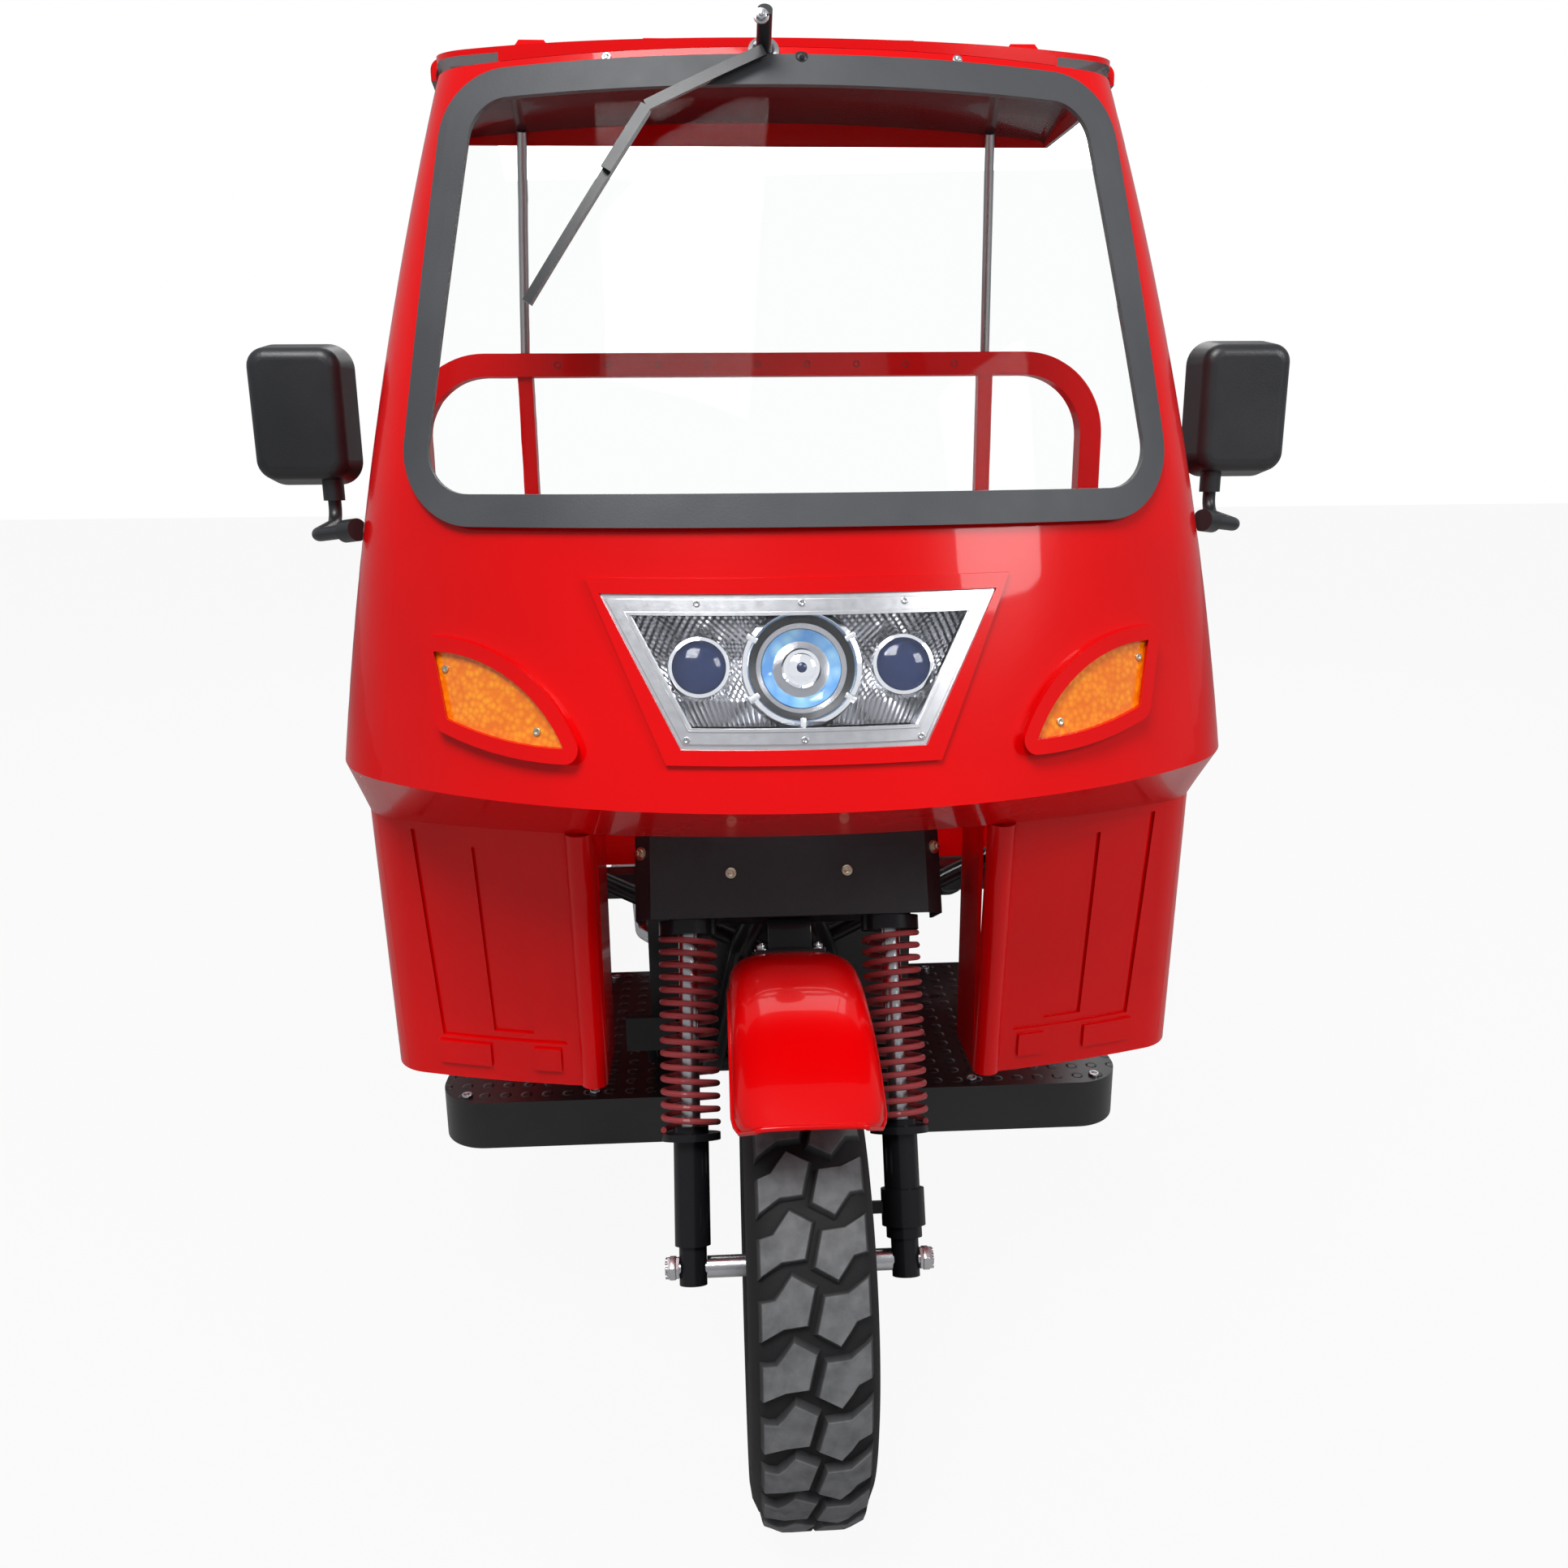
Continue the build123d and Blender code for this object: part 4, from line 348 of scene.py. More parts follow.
@dataclass(frozen=True)
class Metal(Finish):
    """Bare or plated metal."""

    grain: float = 120.0

    def shade(self, tree: Tree) -> None:
        """Metallic with a fine grain in its roughness."""
        tree.set(Base_Color=tree.blend(tree.noise(14.0), self.colour, darker(self.colour, 0.85)))
        tree.set(Metallic=1.0, Roughness=tree.span(tree.noise(self.grain), self.rough * 0.8, self.rough * 1.25))
        tree.bump(tree.noise(self.grain * 3.0, 2.0), 0.0002, 0.2)


@dataclass(frozen=True)
class Moulded(Finish):
    """Black moulded plastic or rubber with a fine grain."""

    grain: float = 900.0
    depth: float = 0.0004

    def shade(self, tree: Tree) -> None:
        """Grained surface with a faint dusty bloom."""
        dusty = tuple(min(1.0, channel * 1.4 + 0.012) for channel in self.colour)
        bloom = tree.span(tree.noise(6.0, 5.0), 0.0, 0.7, 0.4, 0.75)
        tree.set(Base_Color=tree.blend(bloom, self.colour, dusty))
        tree.set(Roughness=tree.span(tree.noise(30.0), self.rough * 0.9, min(1.0, self.rough * 1.15)))
        tree.bump(tree.noise(self.grain, 2.0), self.depth, 0.35)


@dataclass(frozen=True)
class Chequered(Moulded):
    """Black plastic with raised studs in rows."""

    pitch: float = 0.03

    def shade(self, tree: Tree) -> None:
        """Studs on the upper faces only, where two sets of ridges cross, over the moulded grain."""
        super().shade(tree)
        x, y, _ = tree.axes(tree.place)
        studs = tree.math("MULTIPLY", tree.stripes(x, self.pitch), tree.stripes(y, self.pitch))
        upper = tree.span(tree.axes(tree.normal)[2], 0.0, 1.0, 0.6, 0.9)
        tree.bump(tree.math("MULTIPLY", upper, tree.span(studs, 0.0, 1.0, 0.65, 0.85)), 0.0015, 0.6)


@dataclass(frozen=True)
class Tread(Finish):
    """Rubber with pale scuffed block faces over grooves kept dark as painted shade, told apart by a point attribute
    that holds the wear and the painted groove shade.
    """

    worn: Colour = (0.145, 0.147, 0.152)

    def shade(self, tree: Tree) -> None:
        """Lightens the block faces, with streaks and specks."""
        wear_and_groove_shade = tree.add("ShaderNodeAttribute")
        wear_and_groove_shade.attribute_name = WEAR_AND_SHADE
        streaks = tree.span(tree.noise(55.0, 6.0), 0.6, 1.0, 0.3, 0.65)
        # Painted shade: where the attribute is low, on the block walls and in the grooves, the rubber stays dark.
        scuff_and_shade_mix = tree.math("MULTIPLY", wear_and_groove_shade.outputs["Fac"], streaks)
        tree.set(Base_Color=tree.blend(scuff_and_shade_mix, self.colour, self.worn), Specular_IOR_Level=0.3)
        tree.set(Roughness=tree.span(tree.noise(40.0), self.rough * 0.85, self.rough))
        tree.bump(tree.noise(160.0, 5.0), 0.0012, 0.35)


@dataclass(frozen=True)
class RoofEnamel(Enamel):
    """Glossy enamel, with its downward faces painted darker as a painted shade under the roof."""

    # Painted shade: the dark colour that the roof's downward faces take.
    inside: Colour = (0.085, 0.008, 0.010)

    def shade(self, tree: Tree) -> None:
        """Enamel whose downward faces are painted dark, a painted shade."""
        super().shade(tree)
        # Painted shade: faces that look down blend towards the dark colour.
        painted_shade_below = tree.span(tree.axes(tree.normal)[2], 1.0, 0.0, -0.6, -0.2)
        tree.set(Base_Color=tree.blend(painted_shade_below, self.colour, self.inside))


@dataclass(frozen=True)
class Clear(Finish):
    """Clear glass or a tinted clear lens."""

    ior: float = 1.45

    def shade(self, tree: Tree) -> None:
        """Transmits light, with the faintest ripple."""
        tree.set(Base_Color=(*self.colour, 1.0), Roughness=self.rough)
        tree.set(Transmission_Weight=1.0, IOR=self.ior)
        tree.bump(tree.noise(2.0, 0.0), 0.0006, 0.1)


@dataclass(frozen=True)
class Lens(Finish):
    """Coloured lamp lens with small moulded prisms, with a painted glint in each prism."""

    # Painted shade: the darker colour between the prisms.
    shade_between_prisms: Colour = (0.5, 0.05, 0.0)
    cell: float = 150.0

    def shade(self, tree: Tree) -> None:
        """Painted glint in the middle of each prism and painted shade between them, under a clear gloss."""
        cells = tree.add("ShaderNodeTexVoronoi", Vector=tree.place, Scale=self.cell).outputs["Distance"]
        uneven = tree.span(tree.noise(28.0), 0.55, 1.0, 0.3, 0.6)
        # Painted glint: bright in the middle of each prism, darker towards its edges.
        prism_glint = tree.math("MULTIPLY", tree.span(cells, 1.0, 0.25, 0.0, 0.7), uneven)
        tree.set(Base_Color=tree.blend(prism_glint, self.shade_between_prisms, self.colour), Roughness=self.rough)
        tree.set(Coat_Weight=0.8, Coat_Roughness=0.03)
        tree.set(Subsurface_Weight=0.1, Subsurface_Radius=(0.02, 0.008, 0.002))
        tree.bump(tree.math("SUBTRACT", 1.0, cells), 0.0012, 0.5)


RED = Enamel("red_enamel", (0.70, 0.0, 0.001), coat=0.3)
ROOF_RED = RoofEnamel("roof_enamel", (0.70, 0.0, 0.001), coat=0.3)
FRAME_BLACK = Enamel("black_enamel", (0.011, 0.011, 0.013), rough=0.35, coat=0.3)
SPRING_RED = Enamel("spring_red", (0.36, 0.055, 0.06), rough=0.4, coat=0.2)
SILVER = Metal("silver_paint", (0.62, 0.62, 0.63), rough=0.38)
STEEL = Metal("bright_steel", (0.66, 0.66, 0.68), rough=0.25)
ZINC = Metal("zinc_screws", (0.72, 0.66, 0.5), rough=0.32)
CAST = Metal("cast_alloy", (0.5, 0.5, 0.51), rough=0.5, grain=300.0)
CHROME = Metal("chrome", (0.88, 0.89, 0.91), rough=0.07)
BEZEL = Metal("frosted_bezel", (0.86, 0.87, 0.9), rough=0.3)
REFLECTOR = Metal("reflector", (0.50, 0.50, 0.52), rough=0.2)
BLACK_PLASTIC = Moulded("black_plastic", (0.011, 0.012, 0.014), rough=0.36)
BOARD_PLASTIC = Chequered("board_plastic", (0.010, 0.010, 0.011), rough=0.28)
GASKET = Moulded("gasket_rubber", (0.045, 0.047, 0.052), rough=0.55, grain=400.0)
VINYL = Moulded("seat_vinyl", (0.018, 0.018, 0.02), rough=0.4, grain=350.0)
GLASS = Clear("windshield_glass", (0.97, 0.985, 0.98), rough=0.0, ior=1.08)
LAMP_CLEAR = Clear("lamp_glass", (0.97, 0.98, 1.0), rough=0.0, ior=1.3)
BLUE_GLASS = Finish("blue_lens", (0.012, 0.03, 0.11), rough=0.08)
BLUE_COAT = Lens("blue_coating", (0.45, 0.82, 1.0), rough=0.1, shade_between_prisms=(0.04, 0.28, 0.80), cell=60.0)
DIAL = Finish("dial_face", (0.015, 0.015, 0.018), rough=0.5)
MARKS = Finish("dial_marks", (0.85, 0.85, 0.82), rough=0.5)
AMBER = Lens("amber_lens", (1.0, 0.36, 0.006), rough=0.12, shade_between_prisms=(0.75, 0.12, 0.0))
LAMP_RED = Lens("red_lens", (0.75, 0.01, 0.012), rough=0.1, shade_between_prisms=(0.25, 0.0, 0.0))
# The rubber is very dark, partly as a painted shade for the grooves, which have no attribute and take this colour.
TREAD = Tread("tread_rubber", (0.009, 0.009, 0.010), rough=0.8)
MIRROR = Metal("mirror", (0.9, 0.92, 0.93), rough=0.02)

DRESS: dict[Finish, str] = {
    RED: "cab_front_panel cab_side_left cab_side_right front_fender cargo_floor cargo_side_left"
         " cargo_side_right cargo_headboard tailgate seat_base rear_mudguards",
    ROOF_RED: "cab_roof",
    FRAME_BLACK: "chassis_frame front_frame fork_caps fork_crown leaf_springs rear_axle drive_shaft brake_pedal"
                 " plate_bracket brake_plate front_rim rear_rim_left rear_rim_right fork_legs",
    BLACK_PLASTIC: "fork_cover wiper_arm wiper_blade mirror_arms mirror_heads splash_guard battery_box gauge",
    BOARD_PLASTIC: "footboards",
    GLASS: "windshield",
    LAMP_CLEAR: "headlamp_lens",
    GASKET: "windshield_gasket front_tyre rear_tyre_left rear_tyre_right",
    STEEL: "front_axle fork_stanchions handlebar exhaust",
    BEZEL: "headlamp_housing",
    CHROME: "headlamp_projectors",
    BLUE_GLASS: "headlamp_bulbs",
    SPRING_RED: "fork_springs",
    AMBER: "turn_signals",
    LAMP_RED: "tail_lamps",
    CAST: "engine",
    VINYL: "seat_cushion seat_backrest",
    MIRROR: "mirror_glasses",
    SILVER: "roof_stays",
}


class Surface:
    """Fronts, backs and sides of CAD nodes, to lay pieces on."""

    def __init__(self, *names: str) -> None:
        """Keeps the nodes and the box round them."""
        self.things = [NODES[name] for name in names]
        boxes = [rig.box(name) for name in names]
        self.low = Vector([min(low[i] for low, _ in boxes) for i in range(3)])
        self.high = Vector([max(high[i] for _, high in boxes) for i in range(3)])
        self.middle = (self.low + self.high) / 2

    def touch(self, start: Vector, way: Vector) -> tuple[Vector, Vector]:
        """Where a ray first meets one of the nodes.

        Args:
            start: a point outside them.
            way: the ray's direction.

        Returns:
            The nearest point on a surface and the outward normal there.
        """
        best = None
        for thing in self.things:
            hit, place, normal, _ = thing.ray_cast(start, way)
            if hit and (best is None or (place - start).length < (best[0] - start).length):
                best = (place, normal if normal.dot(way) < 0 else -normal)
        if best is None:
            raise ValueError(f"no surface of {self.things[0].name} from {tuple(start)}")
        return best

    def front(self, x: float, z: float) -> tuple[Vector, Vector]:
        """Point and normal seen straight from ahead."""
        return self.touch(Vector((x, self.low.y - RAY_START, z)), Vector((0, 1, 0)))

    def skin(self, x: float, z: float) -> float:
        """Foremost y of the surface at and just round a point, so that a seam is bridged."""
        found = []
        for right, up in ((0, 0), (SEAM_REACH, 0), (-SEAM_REACH, 0), (0, SEAM_REACH), (0, -SEAM_REACH)):
            try:
                found.append(self.front(x + right, z + up)[0].y)
            except ValueError:
                continue
        if not found:
            raise ValueError(f"nothing of {self.things[0].name} near x {x:.4f}, z {z:.4f}")
        return min(found)

    def rear(self, x: float, z: float) -> tuple[Vector, Vector]:
        """Point and normal seen straight from behind."""
        return self.touch(Vector((x, self.high.y + RAY_START, z)), Vector((0, -1, 0)))

    def side(self, hand: int, y: float, z: float) -> tuple[Vector, Vector]:
        """Point and normal seen straight from the left (1) or the right (-1)."""
        reach = self.high.x + RAY_START if hand > 0 else self.low.x - RAY_START
        return self.touch(Vector((reach, y, z)), Vector((-hand, 0, 0)))

    def above(self, x: float, y: float) -> tuple[Vector, Vector]:
        """Point and normal seen straight from above."""
        return self.touch(Vector((x, y, self.high.z + RAY_START)), Vector((0, 0, -1)))


class Bench:
    """The hand tools: each makes or shapes one mesh with Blender's own operators."""

    @staticmethod
    def clear() -> None:
        """Deselects everything."""
        bpy.ops.object.select_all(action="DESELECT")

    @staticmethod
    def only(*things: Thing) -> Thing:
        """Selects only these, and makes the last one active."""
        Bench.clear()
        for thing in things:
            thing.select_set(True)
        bpy.context.view_layer.objects.active = things[-1]
        return things[-1]

    @staticmethod
    def turn(way: Vector) -> tuple[float, float, float]:
        """Rotation that lays a piece's Z axis along a direction."""
        return tuple(way.to_track_quat("Z", "Y").to_euler())

    @staticmethod
    def settle(thing: Thing) -> Thing:
        """Moves a piece's place, turn and scale into its mesh."""
        Bench.only(thing)
        bpy.ops.object.transform_apply(location=True, rotation=True, scale=True)
        return thing

    @staticmethod
    def rod(start: Vector, end: Vector, radius: float, sides: int, tip: float | None = None) -> Thing:
        """Round bar from start to end, tapered where tip gives its far radius."""
        Bench.clear()
        way = end - start
        bpy.ops.mesh.primitive_cone_add(vertices=sides, radius1=radius, depth=way.length,
                                        radius2=radius if tip is None else tip,
                                        location=(start + end) / 2, rotation=Bench.turn(way))
        return Bench.settle(bpy.context.object)

    @staticmethod
    def slab(low: Vector, high: Vector) -> Thing:
        """Box between two corners."""
        Bench.clear()
        bpy.ops.mesh.primitive_cube_add(size=1.0, location=(low + high) / 2)
        bpy.context.object.scale = high - low
        return Bench.settle(bpy.context.object)

    @staticmethod
    def ring(place: Vector, way: Vector, radius: float, thick: float) -> Thing:
        """Round ring square to a direction."""
        Bench.clear()
        bpy.ops.mesh.primitive_torus_add(major_segments=48, minor_segments=10, major_radius=radius,
                                         minor_radius=thick, location=place, rotation=Bench.turn(way))
        return Bench.settle(bpy.context.object)

    @staticmethod
    def outline(points: list[Point], filled: bool) -> Thing:
        """Closed outline through points, as one face where it is filled."""
        Bench.clear()
        bpy.ops.mesh.primitive_circle_add(vertices=len(points), fill_type="NGON" if filled else "NOTHING")
        thing = bpy.context.object
        for vertex, point in zip(thing.data.vertices, points):
            vertex.co = point
        return thing

    @staticmethod
    def edit(thing: Thing) -> None:
        """Opens a piece in edit mode with all of it selected."""
        Bench.only(thing)
        bpy.ops.object.mode_set(mode="EDIT")
        bpy.ops.mesh.select_mode(type="FACE")
        bpy.ops.mesh.select_all(action="SELECT")

    @staticmethod
    def frame(corners: list[Spot], width: float, thick: float, cuts: int = 14) -> Thing:
        """Flat frame inside an outline over the XZ plane.

        Args:
            corners: the outline's corners in x and z.
            width: how wide the frame is.
            thick: its thickness, half of it to each side of the plane.
            cuts: cuts along and across each bar, so that the frame can follow a bow.

        Returns:
            The frame, open in the middle.
        """
        thing = Bench.outline([(x, 0.0, z) for x, z in corners], filled=True)
        Bench.edit(thing)
        bpy.ops.mesh.inset(thickness=width, depth=0.0)
        bpy.ops.mesh.delete(type="FACE")
        bpy.ops.mesh.select_all(action="SELECT")
        bpy.ops.mesh.subdivide(number_cuts=cuts)
        bpy.ops.object.mode_set(mode="OBJECT")
        Bench.modify(thing, "SOLIDIFY", thickness=thick, offset=0.0)
        return Bench.modify(Bench.outward(thing), "BEVEL", width=thick * 0.3, segments=2,
                            limit_method="ANGLE", angle_limit=FRAME_BEVEL_ANGLE)

    @staticmethod
    def lay(thing: Thing, surface: Surface, lift: float) -> Thing:
        """Moves each point of a flat piece back onto the front of a surface."""
        for vertex in thing.data.vertices:
            vertex.co.y += surface.skin(vertex.co.x, vertex.co.z) - lift
        thing.data.update()
        return thing

    @staticmethod
    def modify(thing: Thing, kind: str, **settings: object) -> Thing:
        """Adds a modifier with its settings and applies it."""
        Bench.only(thing)
        modifier = thing.modifiers.new(kind.lower(), kind)
        for key, value in settings.items():
            setattr(modifier, key, value)
        bpy.ops.object.modifier_apply(modifier=modifier.name)
        return thing

    @staticmethod
    def soften(thing: Thing, width: float, segments: int = 2) -> Thing:
        """Rounds every sharp edge by a bevel."""
        return Bench.modify(thing, "BEVEL", width=width, segments=segments, limit_method="ANGLE",
                            angle_limit=BEVEL_ANGLE)

    @staticmethod
    def push_face(thing: Thing, way: Vector, inset: float, push: float) -> Thing:
        """Insets the faces that look along a direction and pushes them along it.

        Args:
            thing: the piece, with its place already in its mesh.
            way: the outward direction of the faces to shape.
            inset: width of the rim that stays.
            push: how far the inner faces move outwards, negative for a recess.

        Returns:
            The same piece.
        """
        Bench.edit(thing)
        bpy.ops.mesh.select_all(action="DESELECT")
        bpy.ops.object.mode_set(mode="OBJECT")
        unit = way.normalized()
        for face in thing.data.polygons:
            face.select = face.normal.dot(unit) > 0.99
        bpy.ops.object.mode_set(mode="EDIT")
        bpy.ops.mesh.inset(thickness=inset, depth=0.0)
        bpy.ops.mesh.extrude_region_move(TRANSFORM_OT_translate={"value": tuple(unit * push)})
        bpy.ops.object.mode_set(mode="OBJECT")
        return thing

    @staticmethod
    def join(things: list[Thing]) -> Thing:
        """Joins pieces into the last one."""
        whole = Bench.only(*things)
        if len(things) > 1:
            bpy.ops.object.join()
        return whole

    @staticmethod
    def copy(thing: Thing, matrix: Matrix) -> Thing:
        """Copies a settled piece with its own mesh, moved by a matrix."""
        twin = thing.copy()
        twin.data = thing.data.copy()
        twin.data.transform(matrix)
        bpy.context.collection.objects.link(twin)
        return twin

    @staticmethod
    def spread(model: Thing, places: list[tuple[Vector, Vector]]) -> Thing:
        """Copies a piece modelled at the origin to each place, its Z along the way there.

        Args:
            model: the piece, which is used up.
            places: the points and the outward directions.

        Returns:
            All copies as one piece.
        """
        copies = []
        for place, way in places:
            turn = way.to_track_quat("Z", "Y").to_matrix().to_4x4()
            copies.append(Bench.copy(model, Matrix.Translation(place) @ turn))
        bpy.data.objects.remove(model)
        return Bench.join(copies)

    @staticmethod
    def both(thing: Thing) -> Thing:
        """Joins a piece with its mirror image on the other side."""
        twin = Bench.copy(thing, Matrix.Scale(-1, 4, Vector((1, 0, 0))))
        twin.data.flip_normals()
        return Bench.join([twin, thing])

    @staticmethod
    def outward(thing: Thing) -> Thing:
        """Merges doubles and turns every face outwards."""
        Bench.edit(thing)
        bpy.ops.mesh.remove_doubles(threshold=DOUBLES)
        bpy.ops.mesh.normals_make_consistent(inside=False)
        bpy.ops.object.mode_set(mode="OBJECT")
        return thing

    @staticmethod
    def turned(profile: tuple[Spot, ...], centre: Vector, way: Vector, steps: int = 64) -> Thing:
        """Spins a closed outline once round an axis.

        Args:
            profile: the outline, as distance along the axis and radius.
            centre: where the axis starts.
            way: the axis.
            steps: faces round the circle.

        Returns:
            The turned piece.
        """
        thing = Bench.outline([(radius, 0.0, along) for along, radius in profile], filled=False)
        Bench.edit(thing)
        bpy.ops.mesh.select_mode(type="VERT")
        bpy.ops.mesh.select_all(action="SELECT")
        bpy.ops.mesh.spin(steps=steps, angle=math.tau, center=(0, 0, 0), axis=(0, 0, 1))
        bpy.ops.object.mode_set(mode="OBJECT")
        Bench.outward(thing)
        thing.location = centre
        thing.rotation_euler = Bench.turn(way)
        return Bench.settle(thing)

    @staticmethod
    def tube(points: list[Vector], radius: float) -> Thing:
        """Round rod bent along points."""
        curve = bpy.data.curves.new("rod", "CURVE")
        curve.dimensions = "3D"
        curve.bevel_depth = radius
        curve.bevel_resolution = 3
        curve.use_fill_caps = True
        spline = curve.splines.new("POLY")
        spline.points.add(len(points) - 1)
        for point, place in zip(spline.points, points):
            point.co = (*place, 1.0)
        thing = bpy.data.objects.new("rod", curve)
        bpy.context.collection.objects.link(thing)
        Bench.only(thing)
        bpy.ops.object.convert(target="MESH")
        return Bench.outward(bpy.context.object)

    @staticmethod
    def screw(radius: float, height: float) -> Thing:
        """Pan-head screw at the origin with a recess in its head."""
        head = Bench.rod(UP * -0.001, UP * height, radius, 16)
        Bench.push_face(head, UP, radius * 0.55, -height * 0.6)
        return Bench.soften(head, height * 0.25)

    @staticmethod
    def hexagon(radius: float, height: float) -> Thing:
        """Hexagon bolt at the origin, with its washer and its end."""
        washer = Bar(-0.001, height * 0.2, radius * 1.35, 24, bevel=height * 0.06)
        nut = Bar(height * 0.2, height, radius, 6, bevel=height * 0.1)
        end = Bar(height, height * 1.3, radius * 0.5, 16, radius * 0.42, bevel=height * 0.08)
        return Bench.join([bar.along(Vector(), UP) for bar in (washer, nut, end)])

    @staticmethod
    def deliver(thing: Thing, name: str, body: Body, finish: Finish, slot: str, nodes: tuple[str, ...] = (),
                angle: float = SMOOTH_ANGLE) -> Thing:
        """Names, shades and dresses a finished piece and hands it to its body.

        Args:
            thing: the finished mesh.
            name: the piece's plain name.
            body: what it rides on.
            finish: its material.
            slot: the record's material slot.
            nodes: CAD nodes that it stands for.
            angle: edges sharper than this stay sharp.

        Returns:
            The same piece.
        """
        Bench.settle(thing)
        thing.name = name
        thing.data.name = name
        bpy.ops.object.shade_smooth_by_angle(angle=angle)
        thing.data.materials.clear()
        thing.data.materials.append(finish.material())
        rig.ride(thing, body.value)
        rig.slot(thing, slot)
        if nodes:
            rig.replaces(thing, *nodes)
        log.info("%s rides on %s", name, body.value)
        return thing


@dataclass(frozen=True)
class Bar:
    """Round bar on an axis: where it starts and ends along it, its radius and its rounding."""

    start: float
    end: float
    radius: float
    sides: int
    tip: float | None = None
    bevel: float = 0.0008

    def along(self, root: Vector, way: Vector) -> Thing:
        """Models the bar on an axis, its edges rounded."""
        bar = Bench.rod(root + way * self.start, root + way * self.end, self.radius, self.sides, self.tip)
        return Bench.soften(bar, self.bevel)


@dataclass(frozen=True)
class Turning:
    """Closed outline, as distance along an axis and radius, that is spun round the axis."""

    outline: tuple[Spot, ...]
    steps: int = 64

    def along(self, root: Vector, way: Vector) -> Thing:
        """Models the turned piece on an axis."""
        return Bench.turned(self.outline, root, way, self.steps)


def around(count: int, shift: float = 0.0) -> list[float]:
    """Angles of even steps round a circle, the first one shifted by a share of a step."""
    return [math.tau * (index + shift) / count for index in range(count)]


def centre_of(node: str) -> Vector:
    """Middle of a CAD node's box."""
    low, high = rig.box(node)
    return (Vector(low) + Vector(high)) / 2


@dataclass
class Tyre:
    """Block-tread tyre: a turned carcass under two rows of slanted blocks."""

    node: str
    body: Body
    radius: float = 0.284
    groove: float = 0.009
    root: float = 0.002
    blocks: int = 28
    chamfer: float = 0.0014
    stagger: float = 0.004
    fold: float = 0.034
    draft: float = 1.16
    outline: tuple[Spot, ...] = ((0.0, -0.0200), (0.024, -0.0335), (0.0415, -0.0100), (0.056, -0.0065),
                                 (0.056, 0.0330), (0.033, 0.0185), (0.009, 0.0160))
    crown: tuple[Spot, ...] = ((0.0, 0.284), (0.034, 0.284), (0.053, 0.2788), (0.062, 0.2663))
    half: tuple[Spot, ...] = (
        (0.0, 0.275), (0.034, 0.275), (0.05, 0.2705), (0.060, 0.262), (0.0665, 0.249), (0.069, 0.234),
        (0.0690, 0.2275), (0.0676, 0.2265), (0.0676, 0.2235), (0.0690, 0.2225), (0.069, 0.205),
        (0.0655, 0.190), (0.0655, 0.186), (0.0615, 0.181), (0.054, 0.170), (0.046, 0.167), (0.046, 0.153))

    def carcass(self, centre: Vector) -> Thing:
        """Turns the carcass with its bead, its side ribs and the floor of the grooves."""
        other = tuple((-across, radius) for across, radius in reversed(self.half[1:]))
        return Bench.turned(self.half + other, centre, Vector((1, 0, 0)), 4 * self.blocks)

    def block(self) -> Thing:
        """Models one block lying flat: X across the tread, Y along it, Z its height."""
        block = Bench.outline([(across, along, -self.root) for across, along in self.outline], filled=True)
        Bench.edit(block)
        lift = self.groove + self.root - self.chamfer
        bpy.ops.mesh.extrude_region_move(TRANSFORM_OT_translate={"value": (0, 0, lift)})
        bpy.ops.mesh.inset(thickness=self.chamfer, depth=0.0)
        bpy.ops.transform.translate(value=(0, 0, self.chamfer))
        bpy.ops.mesh.select_all(action="SELECT")
        bpy.ops.mesh.bisect(plane_co=(self.fold, 0, 0), plane_no=(1, 0, 0))
        bpy.ops.object.mode_set(mode="OBJECT")
        # Point attribute: 1 on the scuffed block faces, falling on the walls towards the groove floor; the darker
        # walls are painted shade.
        wear_and_groove_shade = block.data.attributes.new(WEAR_AND_SHADE, "FLOAT", "POINT")
        middle = Vector(np.mean(np.array(self.outline), axis=0))
        for vertex, mark in zip(block.data.vertices, wear_and_groove_shade.data):
            share = (vertex.co.z + self.root) / (self.groove + self.root)
            mark.value = 1.0 if share > 0.98 else 0.3 * share
            if share < 0.5:
                vertex.co.xy = middle + (vertex.co.xy - middle) * self.draft
        return block

    def wrap(self, block: Thing, centre: Vector, turn: float, hand: int) -> Thing:
        """Copies a block onto the carcass, at an angle and on one side of its centre line."""
        twin = Bench.copy(block, Matrix.Identity(4))
        widths, radii = zip(*self.crown)
        for vertex in twin.data.vertices:
            across, along, height = vertex.co
            angle = turn + hand * along / self.radius
            radius = float(np.interp(across, widths, radii)) - self.groove + height
            vertex.co = centre + Vector((hand * across, -radius * math.cos(angle), radius * math.sin(angle)))
        return twin

    def build(self) -> None:
        """Builds the tyre in place of its plain solid."""
        centre = centre_of(self.node)
        block = self.block()
        pieces = []
        for turn in around(self.blocks):
            pieces.append(self.wrap(block, centre, turn, 1))
            pieces.append(self.wrap(block, centre, turn + self.stagger / self.radius, -1))
        bpy.data.objects.remove(block)
        tread = Bench.join(pieces)
        Bench.outward(tread)
        tyre = Bench.join([tread, self.carcass(centre)])
        Bench.deliver(tyre, self.node + "_tread", self.body, TREAD, "tyre_rubber", (self.node,))


